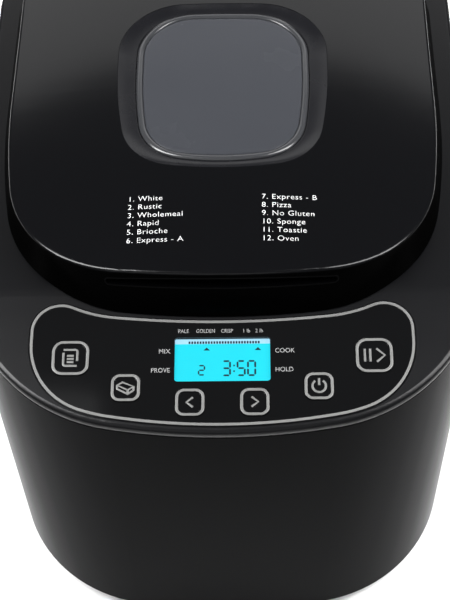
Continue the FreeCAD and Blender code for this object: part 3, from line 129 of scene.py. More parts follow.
def tone(tree, shader, colour, darker, value):
    """Colour that drifts between two close tones."""
    mix = tree.nodes.new("ShaderNodeMix")
    mix.data_type = "RGBA"
    mix.inputs["A"].default_value = (*colour, 1.0)
    mix.inputs["B"].default_value = (*[c * darker for c in colour], 1.0)
    tree.links.new(value, mix.inputs["Factor"])
    tree.links.new(mix.outputs["Result"], shader.inputs["Base Color"])


def finish_material(name, colour, rough, metallic=0.0, specular=0.5, grain=2500.0, relief=0.0,
                    drift=0.85, rough_drift=0.15, stretch=(1.0, 1.0, 1.0), coat=0.0, coat_rough=0.1,
                    ior=1.5):
    """Moulded or metal surface: fine relief, broad drift of roughness and tone."""
    material, tree, shader = node_material(name)
    broad = noise(tree, 14.0, 4.0)
    fine = noise(tree, grain, 2.0, stretch)
    tone(tree, shader, colour, drift, broad)
    smear = noise(tree, 60.0, 6.0, stretch)
    rough_value = mapped(tree, smear, rough * (1.0 - rough_drift), rough * (1.0 + rough_drift))
    tree.links.new(rough_value, shader.inputs["Roughness"])
    shader.inputs["Metallic"].default_value = metallic
    shader.inputs["Specular IOR Level"].default_value = specular
    shader.inputs["IOR"].default_value = ior
    shader.inputs["Coat Weight"].default_value = coat
    shader.inputs["Coat Roughness"].default_value = coat_rough
    if relief > 0.0:
        bump(tree, shader, fine, relief)
    return material


def paint_shade_on_steep(material, steep, level, colour, specular):
    """Painted shade: a darker base colour, and duller gloss, where the surface stands steeply, as on the lid's
    skirt.
    """
    tree = material.node_tree
    shader = tree.nodes["Principled BSDF"]
    place = tree.nodes.new("ShaderNodeTexCoord")
    split = tree.nodes.new("ShaderNodeSeparateXYZ")
    tree.links.new(place.outputs["Normal"], split.inputs["Vector"])
    # Mask by slope: 0 on steep faces, which take the painted shade colour and low gloss, 1 on the top
    top = mapped(tree, split.outputs["Z"], 0.0, 1.0, steep, level)
    gloss = mapped(tree, top, specular, shader.inputs["Specular IOR Level"].default_value, 0.0, 1.0)
    tree.links.new(gloss, shader.inputs["Specular IOR Level"])
    mix = tree.nodes.new("ShaderNodeMix")
    mix.data_type = "RGBA"
    mix.inputs["A"].default_value = (*colour, 1.0)
    tree.links.new(shader.inputs["Base Color"].links[0].from_socket, mix.inputs["B"])
    tree.links.new(top, mix.inputs["Factor"])
    tree.links.new(mix.outputs["Result"], shader.inputs["Base Color"])


def glass_material(name, colour, alpha, rough, specular=0.5):
    """Thin pane, as clear as its alpha makes it."""
    material, tree, shader = node_material(name)
    smear = noise(tree, 25.0, 5.0)
    tree.links.new(mapped(tree, smear, rough * 0.6, rough * 1.6), shader.inputs["Roughness"])
    tone(tree, shader, colour, 0.92, noise(tree, 9.0, 2.0))
    bump(tree, shader, noise(tree, 40.0, 1.0), 0.000002)
    shader.inputs["Alpha"].default_value = alpha
    shader.inputs["Specular IOR Level"].default_value = specular
    return material


def glow_material(name, colour, strength, drift=0.9):
    """Backlit sheet whose light is a little uneven."""
    material, tree, shader = node_material(name)
    shader.inputs["Base Color"].default_value = (*[c * 0.1 for c in colour], 1.0)
    shader.inputs["Specular IOR Level"].default_value = 0.1
    tree.links.new(mapped(tree, noise(tree, 90.0, 3.0), 0.45, 0.6), shader.inputs["Roughness"])
    bump(tree, shader, noise(tree, 3000.0, 2.0), 0.000005)
    mix = tree.nodes.new("ShaderNodeMix")
    mix.data_type = "RGBA"
    mix.inputs["A"].default_value = (*colour, 1.0)
    mix.inputs["B"].default_value = (*[c * drift for c in colour], 1.0)
    tree.links.new(noise(tree, 60.0, 2.0), mix.inputs["Factor"])
    tree.links.new(mix.outputs["Result"], shader.inputs["Emission Color"])
    shader.inputs["Emission Strength"].default_value = strength
    return material


MATERIALS = {
    "black_satin": finish_material("black_satin", (0.0009, 0.0010, 0.0013), 0.20, ior=1.05,
                                   grain=3200.0, relief=0.000003, drift=0.93, rough_drift=0.03),
    "lid_satin": finish_material("lid_satin", (0.0018, 0.0019, 0.0024), 0.15, specular=0.26,
                                 grain=3600.0, relief=0.000006, drift=0.93, rough_drift=0.03),
    "black_gloss": finish_material("black_gloss", (0.0016, 0.0017, 0.0020), 0.08, specular=0.45,
                                   grain=900.0, relief=0.000002, drift=0.9, rough_drift=0.1),
    "dark_grey": finish_material("dark_grey", (0.0055, 0.0056, 0.0070), 0.26, specular=0.28,
                                 grain=3000.0, relief=0.00001),
    "silver_print": finish_material("silver_print", (0.155, 0.155, 0.152), 0.38, metallic=0.1,
                                    specular=0.3, grain=5000.0, relief=0.00001),
    "rubber_black": finish_material("rubber_black", (0.02, 0.02, 0.02), 0.75, grain=2500.0, relief=0.00006),
    "silicone_grey": finish_material("silicone_grey", (0.22, 0.22, 0.23), 0.6, grain=1500.0, relief=0.00004),
    "circuit_board": finish_material("circuit_board", (0.015, 0.09, 0.035), 0.35, grain=700.0,
                                     relief=0.00003),
    "component_black": finish_material("component_black", (0.015, 0.015, 0.016), 0.5, grain=2500.0,
                                       relief=0.00003),
    "liner_steel": finish_material("liner_steel", (0.55, 0.55, 0.56), 0.36, metallic=1.0, grain=1400.0,
                                   relief=0.00002, stretch=(1.0, 1.0, 0.06)),
    "zinc_steel": finish_material("zinc_steel", (0.48, 0.49, 0.52), 0.4, metallic=1.0, grain=1800.0,
                                  relief=0.00003),
    "element_alloy": finish_material("element_alloy", (0.13, 0.12, 0.12), 0.55, metallic=0.7, grain=2200.0,
                                     relief=0.00004, drift=0.5),
    "ceramic_white": finish_material("ceramic_white", (0.75, 0.72, 0.66), 0.55, grain=1800.0, relief=0.00003),
    "cast_aluminium": finish_material("cast_aluminium", (0.60, 0.60, 0.62), 0.5, metallic=1.0, grain=1500.0,
                                      relief=0.00008),
    "nonstick_grey": finish_material("nonstick_grey", (0.045, 0.046, 0.05), 0.4, metallic=0.2, grain=2600.0,
                                     relief=0.00003, coat=0.3, coat_rough=0.3),
    "bright_wire": finish_material("bright_wire", (0.68, 0.68, 0.70), 0.16, metallic=1.0, grain=900.0,
                                   relief=0.00001),
    "bronze": finish_material("bronze", (0.50, 0.32, 0.15), 0.45, metallic=1.0, grain=2500.0, relief=0.00005),
    "copper": finish_material("copper", (0.55, 0.22, 0.09), 0.35, metallic=0.9, grain=1500.0, relief=0.0002,
                              stretch=(0.05, 0.05, 1.0)),
    "laminated_steel": finish_material("laminated_steel", (0.18, 0.18, 0.19), 0.5, metallic=0.9, grain=1600.0,
                                       relief=0.00015, stretch=(0.02, 0.02, 1.0)),
    "nylon_white": finish_material("nylon_white", (0.66, 0.64, 0.58), 0.5, grain=1500.0, relief=0.00003),
    "clear_window": glass_material("clear_window", (0.10, 0.14, 0.16), 0.06, 0.12, specular=0.2),
    "tinted_glass": glass_material("tinted_glass", (0.037, 0.039, 0.045), 0.92, 0.20, specular=0.10),
    "display": finish_material("display", (0.05, 0.05, 0.05), 0.4, grain=1500.0, relief=0.00001),
    "deck_satin": finish_material("deck_satin", (0.0034, 0.0035, 0.0041), 0.30, specular=0.22,
                                  grain=3400.0, relief=0.000006, drift=0.93, rough_drift=0.03),
    # Painted shade: the finger grip's recess is near-black and almost without gloss
    "grip_painted_shade": finish_material("grip_painted_shade", (0.0006, 0.0006, 0.0007), 0.16, specular=0.03,
                                  grain=3200.0, relief=0.000005),
    "grey_print": finish_material("grey_print", (0.24, 0.24, 0.24), 0.5, grain=4000.0, relief=0.000008),
    "lip_grey": finish_material("lip_grey", (0.03, 0.031, 0.034), 0.18, specular=0.6, grain=2600.0,
                                relief=0.000006),
    "white_print": finish_material("white_print", (0.60, 0.60, 0.60), 0.5, grain=4000.0, relief=0.000008),
    "display_cyan": glow_material("display_cyan", (0.0, 0.80, 0.97), 0.88),
    "display_white": glow_material("display_white", (0.42, 0.78, 1.0), 0.95),
    "display_ink": finish_material("display_ink", (0.0, 0.012, 0.022), 0.5, specular=0.1, grain=3000.0,
                                   relief=0.000005),
}

# Nodes whose finish differs from their record slot's; the grip's finish is painted shade in its recess, and the
# lid's holds painted shade on its skirt
NODE_FINISH = {"lid_cover": "lid_satin", "lid_grip": "grip_painted_shade", "top_deck": "deck_satin"}
# Painted shade on the lid's skirt: its steep faces get a darker colour and almost no gloss
SKIRT_STEEP = 0.42                    # upward part of the normal, up to which the skirt is darkest
SKIRT_LEVEL = 0.62                    # and from which the lid has its own finish
# Colour of the painted shade on the lid's skirt
SKIRT_SHADE_COLOUR = (0.0006, 0.0006, 0.0006)
SKIRT_SPECULAR = 0.004
paint_shade_on_steep(MATERIALS["lid_satin"], SKIRT_STEEP, SKIRT_LEVEL, SKIRT_SHADE_COLOUR, SKIRT_SPECULAR)


def paint(obj, material):
    """Gives an object one material."""
    obj.data.materials.clear()
    obj.data.materials.append(material)


def paint_nodes():
    """Paints every CAD node with its slot's material, or its own finish."""
    slots = {entry["node"]: entry["material_slot"] for entry in frame["record"]["subparts"]}
    for name, obj in NODES.items():
        paint(obj, MATERIALS[NODE_FINISH.get(name, slots[name])])


paint_nodes()


# ---- Meshes ----

def new_object(name, mesh, material, body):
    """Links a piece, paints it and hangs it on its body."""
    obj = bpy.data.objects.new(name, mesh)
    bpy.context.scene.collection.objects.link(obj)
    mesh.materials.append(material)
    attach(obj, body)
    return obj


def smooth(mesh):
    """Shades every face smoothly."""
    for face in mesh.polygons:
        face.use_smooth = True


def loft(name, loops, cap_first=False, cap_last=False, closed=False):
    """Quads between loops of equal length; closed joins the last loop to the first."""
    mesh = bpy.data.meshes.new(name)
    count = len(loops[0])
    points = [point for loop in loops for point in loop]
    faces = []
    bands = len(loops) if closed else len(loops) - 1
    for band in range(bands):
        low = band * count
        high = ((band + 1) % len(loops)) * count
        for i in range(count):
            j = (i + 1) % count
            faces.append((low + i, low + j, high + j, high + i))
    if cap_first:
        faces.append(tuple(reversed(range(count))))
    if cap_last:
        faces.append(tuple(range(len(points) - count, len(points))))
    mesh.from_pydata(points, [], faces)
    mesh.validate()
    smooth(mesh)
    return mesh


def arc_points(start, heading, turned, radius, steps):
    """Points of a left-hand arc after its start, and the last of them."""
    centre = Vector((start.x - radius * math.sin(heading), start.y + radius * math.cos(heading)))
    points = []
    for step in range(1, steps + 1):
        angle = heading + (turned - heading) * step / steps
        points.append(centre + Vector((math.sin(angle), -math.cos(angle))) * radius)
    return points, points[-1]


def bowed_loop(half, front, back, bow, heading, corner_end, side_bow, back_corner, inset=0.0):
    """Symmetric loop with a bowed front, as in the lid's window: sizes in metres, headings in degrees."""
    first = math.radians(heading)
    last = math.radians(corner_end)
    right = math.radians(90.0)
    corner = half - bow * math.sin(first) - side_bow * (1.0 - math.sin(last))
    corner /= math.sin(last) - math.sin(first)
    point = Vector((0.0, front + inset))
    chain = [point]
    for start, end, radius, steps in ((0.0, first, bow, 8), (first, last, corner, 16),
                                      (last, right, side_bow, 6)):
        points, point = arc_points(point, start, end, radius - inset, steps)
        chain += points
    shoulder = Vector((half - inset, back - back_corner))
    steps = 8
    chain += [point.lerp(shoulder, step / steps) for step in range(1, steps + 1)]
    points, point = arc_points(shoulder, right, 2.0 * right, back_corner - inset, 12)
    chain += points
    steps = 6
    chain += [point.lerp(Vector((0.0, point.y)), step / steps) for step in range(1, steps + 1)]
    mirrored = [Vector((-p.x, p.y)) for p in reversed(chain[1:-1])]
    return chain + mirrored


# ---- Lid surface ----

LID_TOP = 0.300                       # the crown's highest point, which lies within the window
CROWN_ACROSS = 0.650                  # the crown's radius from side to side
CROWN_ALONG = 1.500                   # and from front to back
CROWN_Y = 0.035                       # where it is highest


def crown_z(x, y):
    """Height of the lid's crowned top."""
    ring = CROWN_ALONG - CROWN_ACROSS + math.sqrt(CROWN_ACROSS ** 2 - x * x)
    return LID_TOP - CROWN_ALONG + math.sqrt(ring ** 2 - (y - CROWN_Y) ** 2)


def on_crown(loop, depth):
    """Puts a plan loop at a depth under the lid's crown."""
    return [(p.x, p.y, crown_z(p.x, p.y) - depth) for p in loop]


def shrunk(loop, centre, factor):
    """A loop scaled about a centre."""
    return [centre + (p - centre) * factor for p in loop]


def between(outer, inner, t):
    """The loop a share t of the way from one loop to another."""
    return [a.lerp(b, t) for a, b in zip(outer, inner)]


WINDOW = dict(half=0.0518, front=-0.0222, back=0.096, bow=0.130, heading=11.0, corner_end=82.0,
              side_bow=0.300, back_corner=0.034)
BEZEL = dict(half=0.064, front=-0.0295, back=0.104, bow=0.170, heading=11.0, corner_end=80.0,
             side_bow=0.300, back_corner=0.040)
# Share of the way from the ring's outer edge to its inner one, and depth in millimetres
BEZEL_PROFILE = ((0.00, 0.15), (0.04, 0.30), (0.15, 0.75), (0.35, 1.50), (0.55, 2.05), (0.75, 2.40),
                 (0.90, 2.55), (1.00, 2.60))
# Inset from the window's outline, and depth, in millimetres
LIP_PROFILE = ((-0.6, 2.55), (-0.35, 2.10), (0.1, 1.65), (0.8, 1.38), (1.6, 1.35), (2.4, 1.52),
               (3.0, 1.85), (3.3, 2.25), (3.4, 3.00))
DISH_INSET = -0.8                     # the dish ends just outside the lip
DISH_BOTTOM = 4.2
LIP_INNER = 3.4
LIP_OUTER = -0.6
LIP_BOTTOM = 4.1
GLASS_INSET = 3.45
GLASS_DEPTH = 2.0 * MM
GLASS_SOFTENING = 0.4
GLASS_EDGE = 1.8
GLASS_THICKNESS = 2.2
GLASS_CENTRE = Vector((0.0, 0.037))
GLASS_TOP_RINGS = (0.03, 0.15, 0.3, 0.45, 0.6, 0.75, 0.88, 0.96, 0.99)
GLASS_BACK_RINGS = (0.99, 0.9, 0.7, 0.4, 0.1)


def make_window_bezel():
    """Dished ring between the lid and its window, with a rounded lip round the pane."""
    outer = bowed_loop(**BEZEL)
    inner = bowed_loop(inset=DISH_INSET * MM, **WINDOW)
    loops = [on_crown(between(outer, inner, t), depth * MM) for t, depth in BEZEL_PROFILE]
    loops.append(on_crown(inner, DISH_BOTTOM * MM))
    loops.append(on_crown(outer, DISH_BOTTOM * MM))
    bezel = new_object("window_dish", loft("window_dish", loops, closed=True),
                       MATERIALS["dark_grey"], "lid")
    loops = [on_crown(bowed_loop(inset=inset * MM, **WINDOW), depth * MM) for inset, depth in LIP_PROFILE]
    for inset in (LIP_INNER, LIP_OUTER):
        loops.append(on_crown(bowed_loop(inset=inset * MM, **WINDOW), LIP_BOTTOM * MM))
    lip = new_object("window_lip", loft("window_lip", loops, closed=True),
                     MATERIALS["lip_grey"], "lid")
    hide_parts("window_bezel")
    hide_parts("window_bezel")


def make_window_glass():
    """Crowned pane with softened edges, held by the lip."""
    edge = bowed_loop(inset=GLASS_INSET * MM, **WINDOW)
    loops = [on_crown(shrunk(edge, GLASS_CENTRE, factor), GLASS_DEPTH) for factor in GLASS_TOP_RINGS]
    loops.append(on_crown(edge, GLASS_DEPTH + GLASS_SOFTENING * MM))
    loops.append(on_crown(edge, GLASS_DEPTH + GLASS_EDGE * MM))
    for factor in GLASS_BACK_RINGS:
        loops.append(on_crown(shrunk(edge, GLASS_CENTRE, factor), GLASS_DEPTH + GLASS_THICKNESS * MM))
    mesh = loft("window_pane", loops, cap_first=True, cap_last=True)
    pane = new_object("window_pane", mesh, MATERIALS["tinted_glass"], "lid")
    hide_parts("window_glass")


# ---- Strokes and lettering ----

def stroke_mesh(name, strokes, width, height):
    """Rounded raised lines; each stroke is (points, closed) in millimetres in its own plane."""
    curve = bpy.data.curves.new(name, "CURVE")
    curve.dimensions = "3D"
    curve.bevel_depth = width / 2.0 * MM
    curve.bevel_resolution = 3
    curve.use_fill_caps = True
    for points, closed in strokes:
        spline = curve.splines.new("POLY")
        spline.points.add(len(points) - 1)
        for target, (x, y) in zip(spline.points, points):
            target.co = (x * MM, y * MM, 0.0, 1.0)
        spline.use_cyclic_u = closed
    holder = bpy.data.objects.new(name, curve)
    bpy.context.scene.collection.objects.link(holder)
    bpy.context.view_layer.update()
    depsgraph = bpy.context.evaluated_depsgraph_get()
    mesh = bpy.data.meshes.new_from_object(holder.evaluated_get(depsgraph))
    bpy.data.objects.remove(holder)
    mesh.transform(Matrix.Diagonal((1.0, 1.0, 2.0 * height / width, 1.0)))
    smooth(mesh)
    return mesh


def text_mesh(name, text, size, squeeze=1.0, bold=0.0, align="LEFT", thickness=0.05, spacing=1.0):
    """Flat lettering about the origin, with a little thickness; sizes in millimetres."""
    curve = bpy.data.curves.new(name, "FONT")
    curve.body = text
    curve.size = size * MM
    curve.offset = bold * MM
    curve.extrude = thickness * MM
    curve.align_x = align
    curve.align_y = "CENTER"
    curve.space_character = spacing
    curve.resolution_u = 3
    holder = bpy.data.objects.new(name, curve)
    bpy.context.scene.collection.objects.link(holder)
    bpy.context.view_layer.update()
    depsgraph = bpy.context.evaluated_depsgraph_get()
    mesh = bpy.data.meshes.new_from_object(holder.evaluated_get(depsgraph))
    bpy.data.objects.remove(holder)
    mesh.transform(Matrix.Diagonal((squeeze, 1.0, 1.0, 1.0)))
    return mesh


PROGRAMMES = ("White", "Rustic", "Wholemeal", "Rapid", "Brioche", "Express - A",
              "Express - B", "Pizza", "No Gluten", "Sponge", "Toastie", "Oven")
COLUMN_LENGTH = 6
TEXT_LEFT = -53.5                     # left edges of the two columns
TEXT_RIGHT = 22.6
TEXT_TOP = -50.2                      # middle of the first line
TEXT_PITCH = 5.62
TEXT_SIZE = 4.9
TEXT_WIDEN = 1.06
TEXT_BOLD = -0.035                    # negative thins the letters
TEXT_SPACING = 1.08


def make_programme_list():
    """Two columns of numbered programmes printed on the lid."""
    for index, word in enumerate(PROGRAMMES):
        column, row = divmod(index, COLUMN_LENGTH)
        left = TEXT_RIGHT if column else TEXT_LEFT
        y = TEXT_TOP - TEXT_PITCH * row
        mesh = text_mesh("programme", f"{index + 1}. {word}", TEXT_SIZE, TEXT_WIDEN, TEXT_BOLD,
                         spacing=TEXT_SPACING)
        for vertex in mesh.vertices:
            px = vertex.co.x + left * MM
            py = vertex.co.y + y * MM
            vertex.co = (px, py, crown_z(px, py) + vertex.co.z)
        new_object(f"programme_{index + 1}", mesh, MATERIALS["white_print"], "lid")


# ---- Control panel ----

PANEL_NORMAL = -Vector(JOINTS["menu_press"]["axis"]).normalized()


def panel_matrix(x, y):
    """Frame on the sloping panel's face at plan point x, y in metres."""
    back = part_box("lcd_window")[1]
    z = back.z - (y - back.y) * PANEL_NORMAL.y / PANEL_NORMAL.z
    across = Vector((1, 0, 0))
    along = PANEL_NORMAL.cross(across)
    turn = Matrix((across, along, PANEL_NORMAL)).transposed().to_4x4()
    return Matrix.Translation(Vector((x, y, z))) @ turn


def button_matrix(node, lift):
    """Frame over the middle of a key, lifted off the panel's face."""
    low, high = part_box(node)
    centre = (low + high) / 2.0
    flat = panel_matrix(centre.x, centre.y)
    offset = (centre - flat.translation).dot(PANEL_NORMAL)
    foot = centre - PANEL_NORMAL * offset
    return Matrix.Translation(foot + PANEL_NORMAL * lift) @ flat.to_3x3().to_4x4()


def rounded_square(size, corner, steps=7):
    """Points of a rounded square about the origin, in millimetres."""
    reach = size / 2.0 - corner
    points = []
    for sx, sy, start in ((1, -1, -90.0), (1, 1, 0.0), (-1, 1, 90.0), (-1, -1, 180.0)):
        for step in range(steps + 1):
            angle = math.radians(start + 90.0 * step / steps)
            points.append((sx * reach + corner * math.cos(angle), sy * reach + corner * math.sin(angle)))
    return points


def arc_stroke(radius, start, end, steps=24, x=0.0, y=0.0):
    """Points of an arc about x, y, between two angles in degrees."""
    angles = [math.radians(start + (end - start) * step / steps) for step in range(steps + 1)]
    return [(x + radius * math.cos(a), y + radius * math.sin(a)) for a in angles]


# Each key's symbol, as strokes of (points, closed) in millimetres about its middle
ICONS = {
    "menu_button": (
        ([(-3.9, 4.9), (2.6, 4.9)] + arc_stroke(1.2, 90.0, 0.0, 6, 2.6, 3.7) + [(3.8, -2.0)], False),
        ([(-3.9, 3.2), (-3.9, -3.4)] + arc_stroke(1.4, 180.0, 270.0, 6, -2.5, -3.4) + [(3.8, -4.8)], False),
        ([(-1.9, 1.3), (1.9, 1.3)], False),
        ([(-1.9, -0.6), (1.9, -0.6)], False),
        ([(-1.9, -2.5), (1.9, -2.5)], False),
    ),
    "loaf_button": (
        ([(-4.6, 1.5), (-1.7, 3.2), (4.4, 0.7), (1.3, -1.5)], True),
        ([(-4.6, 1.5), (-4.6, -0.7), (1.3, -3.9), (4.4, -1.6), (4.4, 0.7)], False),
        ([(1.3, -1.5), (1.3, -3.9)], False),
    ),
    "down_button": (([(1.7, 2.9), (-1.9, 0.0), (1.7, -2.9)], False),),
    "up_button": (([(-1.7, 2.9), (1.9, 0.0), (-1.7, -2.9)], False),),
    "power_button": (
        (arc_stroke(3.7, 125.0, 415.0), False),
        ([(0.0, 4.6), (0.0, 0.4)], False),
    ),
    "start_button": (
        ([(-5.3, 3.9), (-5.3, -3.9)], False),
        ([(-2.3, 3.9), (-2.3, -3.9)], False),
        ([(1.3, 4.0), (5.8, 0.0), (1.3, -4.0)], False),
    ),
}
RING_MARGIN = 2.0                     # with the inset, how much less a ring is across than its key
RING_INSET = 0.3
RING_CORNER_SHARE = 0.30
RING_CORNER_LESS = 0.9
RING_WIDTH = 1.7
RING_HEIGHT = 0.16
RING_LIFT = 0.60 * MM
ICON_WIDTH = 1.3
ICON_HEIGHT = 0.1
ICON_LIFT = 0.52 * MM


def make_button_graphics():
    """A ring and a symbol on every key, moving with it."""
    for node, strokes in ICONS.items():
        low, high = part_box(node)
        size = (high.x - low.x) / MM - RING_MARGIN
        body = node.replace("_button", "_key")
        corner = size * RING_CORNER_SHARE - RING_CORNER_LESS
        ring = [(rounded_square(size - RING_WIDTH - RING_INSET, corner), True)]
        mesh = stroke_mesh(node + "_ring", ring, RING_WIDTH, RING_HEIGHT)
        mesh.transform(button_matrix(node, RING_LIFT))
        new_object(node + "_ring", mesh, MATERIALS["silver_print"], body)
        mesh = stroke_mesh(node + "_icon", strokes, ICON_WIDTH, ICON_HEIGHT)
        mesh.transform(button_matrix(node, ICON_LIFT))
        new_object(node + "_icon", mesh, MATERIALS["silver_print"], body)


# Name, wording, place about the display's middle, size, width factor, and the side it is set from
LABELS = (
    ("crust_1", "PALE", -24.9, 17.0, 3.3, 0.86, "LEFT"),
    ("crust_2", "GOLDEN", -14.8, 17.0, 3.3, 0.80, "LEFT"),
    ("crust_3", "CRISP", -0.9, 17.0, 3.3, 0.82, "LEFT"),
    ("size_1", "1 lb", 11.2, 17.0, 3.3, 0.9, "LEFT"),
    ("size_2", "2 lb", 18.4, 17.0, 3.3, 0.9, "LEFT"),
    ("stage_1", "MIX", -29.0, 4.7, 3.9, 0.98, "RIGHT"),
    ("stage_2", "PROVE", -29.0, -6.8, 3.9, 0.90, "RIGHT"),
    ("stage_3", "COOK", 29.2, 4.7, 3.9, 0.95, "LEFT"),
    ("stage_4", "HOLD", 29.2, -6.8, 3.9, 0.95, "LEFT"),
)
LABEL_THICKNESS = 0.04
LABEL_LIFT = 0.07 * MM


def lcd_matrix(lift):
    """Frame at the middle of the display's window, on a plane lifted along the panel's normal."""
    low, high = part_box("lcd_window")
    y = (low.y + high.y) / 2.0
    return panel_matrix(0.0, y - lift * PANEL_NORMAL.y) @ Matrix.Translation((0, 0, lift))


def make_labels():
    """The words printed round the display."""
    for name, text, x, y, size, squeeze, align in LABELS:
        mesh = text_mesh("label_" + name, text, size, squeeze, align=align, thickness=LABEL_THICKNESS)
        mesh.transform(Matrix.Translation((x * MM, y * MM, 0.0)))
        mesh.transform(lcd_matrix(LABEL_LIFT))
        new_object("label_" + name, mesh, MATERIALS["grey_print"], "base")


# ---- Display ----

# Ends of a seven-segment figure's bars, in half widths and half heights
SEGMENTS = {
    "a": ((-1, 1), (1, 1)), "b": ((1, 1), (1, 0)), "c": ((1, 0), (1, -1)), "d": ((-1, -1), (1, -1)),
    "e": ((-1, 0), (-1, -1)), "f": ((-1, 1), (-1, 0)), "g": ((-1, 0), (1, 0)),
}
DIGITS = {"2": "abged", "3": "abgcd", "5": "afgcd", "0": "abcdef"}
DISPLAY_LIFT = -1.7 * MM              # below the window's face
DISPLAY_DEPTH = 26.6
DISPLAY_MARGIN = 0.2
STRIP_DEPTH = 3.0
SHEET_THICKNESS = 0.1
INK_LIFT = 0.12 * MM
INK_THICKNESS = 0.08
PROGRAMME_FIGURE = dict(x=-11.6, y=-5.9, width=3.2, height=5.6, thick=0.85)
CLOCK_FIGURES = (("3", 2.2), ("5", 10.4), ("0", 16.2))
CLOCK_SIZE = dict(y=-4.8, width=4.0, height=8.6, thick=1.05)
COLON_ROWS = (-3.2, -6.6)
COLON_LEFT = 6.0
COLON_RIGHT = 6.9
COLON_HALF = 0.45
MARKER_PLACES = (-8.8, 19.8)
MARKER_HALF = 1.8
MARKER_FOOT = 6.1
MARKER_TIP = 7.9
DASH_COUNT = 26
DASH_START = -19.0
DASH_PITCH = 1.55
DASH_LENGTH = 1.05
DASH_FOOT = 0.1                       # above the strip's lower edge
DASH_HEAD = 1.6


def bar(x0, y0, x1, y1, thick):
    """Pointed bar of a seven-segment figure, as plan points."""
    a = Vector((x0, y0))
    b = Vector((x1, y1))
    along = (b - a).normalized()
    side = Vector((-along.y, along.x)) * thick / 2.0
    a += along * thick * 0.25
    b -= along * thick * 0.25
    tip = along * thick * 0.5
    return [a, a + tip - side, b - tip - side, b, b - tip + side, a + tip + side]


def slabs_mesh(name, outlines, thick):
    """One mesh of thin slabs over flat outlines given in millimetres."""
    mesh = bpy.data.meshes.new(name)
    points = []
    faces = []
    for outline in outlines:
        count = len(outline)
        first = len(points)
        points += [(p[0] * MM, p[1] * MM, 0.0) for p in outline]
        points += [(p[0] * MM, p[1] * MM, thick * MM) for p in outline]
        faces.append(tuple(first + i for i in reversed(range(count))))
        faces.append(tuple(first + count + i for i in range(count)))
        for i in range(count):
            j = (i + 1) % count
            faces.append((first + i, first + j, first + count + j, first + count + i))
    mesh.from_pydata(points, [], faces)
    return mesh


def digit_outlines(figure, x, y, width, height, thick):
    """The lit bars of one seven-segment figure about x, y."""
    outlines = []
    for name in DIGITS[figure]:
        (ax, ay), (bx, by) = SEGMENTS[name]
        outlines.append(bar(x + ax * width / 2.0, y + ay * height / 2.0,
                            x + bx * width / 2.0, y + by * height / 2.0, thick))
    return outlines


def rectangle(x0, y0, x1, y1):
    """Corners of a rectangle, anticlockwise."""
    return [(x0, y0), (x1, y0), (x1, y1), (x0, y1)]


def display_marks(strip_foot):
    """Outlines of everything dark on the display: figures, colon, markers and dashes."""
    marks = digit_outlines("2", **PROGRAMME_FIGURE)
    for figure, x in CLOCK_FIGURES:
        marks += digit_outlines(figure, x, **CLOCK_SIZE)
    for y in COLON_ROWS:
        marks.append(rectangle(COLON_LEFT, y - COLON_HALF, COLON_RIGHT, y + COLON_HALF))
    for x in MARKER_PLACES:
        marks.append([(x - MARKER_HALF, MARKER_FOOT), (x + MARKER_HALF, MARKER_FOOT), (x, MARKER_TIP)])
    for i in range(DASH_COUNT):
        x = DASH_START + DASH_PITCH * i
        marks.append(rectangle(x, strip_foot + DASH_FOOT, x + DASH_LENGTH, strip_foot + DASH_HEAD))
    return marks


def make_display():
    """Backlit sheet, its pale top strip, and what is written on them."""
    low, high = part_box("lcd_window")
    half_w = (high.x - low.x) / MM / 2.0 - DISPLAY_MARGIN
    half_d = DISPLAY_DEPTH / 2.0 - DISPLAY_MARGIN
    strip_foot = half_d - STRIP_DEPTH
    ink_plane = DISPLAY_LIFT + INK_LIFT
    light = [rectangle(-half_w, -half_d, half_w, strip_foot)]
    strip = [rectangle(-half_w, strip_foot, half_w, half_d)]
    parts = (
        ("display_light", light, SHEET_THICKNESS, "display_cyan", DISPLAY_LIFT),
        ("display_strip", strip, SHEET_THICKNESS, "display_white", DISPLAY_LIFT),
        ("display_figures", display_marks(strip_foot), INK_THICKNESS, "display_ink", ink_plane),
    )
    for name, outlines, thick, material, lift in parts:
        mesh = slabs_mesh(name, outlines, thick)
        mesh.transform(lcd_matrix(lift))
        new_object(name, mesh, MATERIALS[material], "base")


make_window_bezel()
make_window_glass()
make_programme_list()
make_button_graphics()
make_labels()
make_display()


# ---- Floor and light ----

FLOOR_HALF = 14.0
WORLD_STRENGTH = 0.16


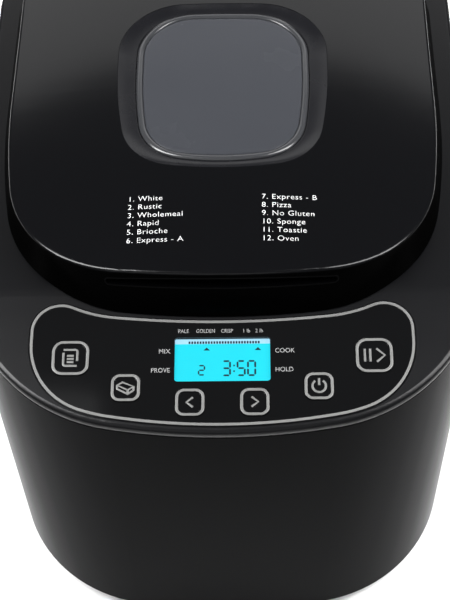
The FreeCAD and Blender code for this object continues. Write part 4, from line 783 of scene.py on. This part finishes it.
def make_floor():
    """Plain pale floor."""
    mesh = bpy.data.meshes.new("floor")
    half = FLOOR_HALF
    mesh.from_pydata([(-half, -half, 0), (half, -half, 0), (half, half, 0), (-half, half, 0)], [],
                     [(0, 1, 2, 3)])
    floor = bpy.data.objects.new("floor", mesh)
    bpy.context.scene.collection.objects.link(floor)
    paint(floor, finish_material("floor", (0.9, 0.9, 0.9), 0.9, specular=0.1, drift=0.99))


def area_light(name, place, target, size, power, lights=True, mirrored=True):
    """Softbox that lights matt surfaces, shows in glossy ones, or both."""
    data = bpy.data.lights.new(name, "AREA")
    data.shape = "RECTANGLE"
    data.size, data.size_y = size
    data.energy = power
    light = bpy.data.objects.new(name, data)
    bpy.context.scene.collection.objects.link(light)
    light.location = place
    light.visible_diffuse = lights
    light.visible_glossy = mirrored
    direction = Vector(target) - Vector(place)
    light.rotation_euler = direction.to_track_quat("-Z", "Y").to_euler()


def make_lights():
    """Dim white surroundings, three softboxes, and one softbox and one strip at each side."""
    world = bpy.data.worlds.new("studio")
    world.use_nodes = True
    background = world.node_tree.nodes["Background"]
    background.inputs["Color"].default_value = (1.0, 1.0, 1.0, 1.0)
    background.inputs["Strength"].default_value = WORLD_STRENGTH
    bpy.context.scene.world = world
    area_light("softbox_back", (0.0, 1.9, 1.45), (0.0, 0.05, 0.25), (2.6, 0.9), 11.0)
    area_light("softbox_front", (-0.5, -2.4, 2.1), (0.0, -0.2, 0.0), (2.4, 1.4), 8.0)
    for side, name, power, gloss in ((-1, "left", 27.0, 26.0), (1, "right", 32.0, 19.0)):
        area_light("softbox_" + name, (0.95 * side, 0.0, 0.95), (0.55 * side, 0.0, 0.0), (0.7, 1.0), power,
                   mirrored=False)
        area_light("strip_" + name, (0.80 * side, -0.20, 1.15), (0.0, 0.0, 0.28), (0.34, 1.1), gloss,
                   lights=False)
    area_light("softbox_top", (-0.75, -0.1, 2.0), (0.0, -0.1, 0.2), (0.9, 1.0), 1.6)


make_floor()
make_lights()
bpy.context.scene.view_settings.view_transform = "Standard"
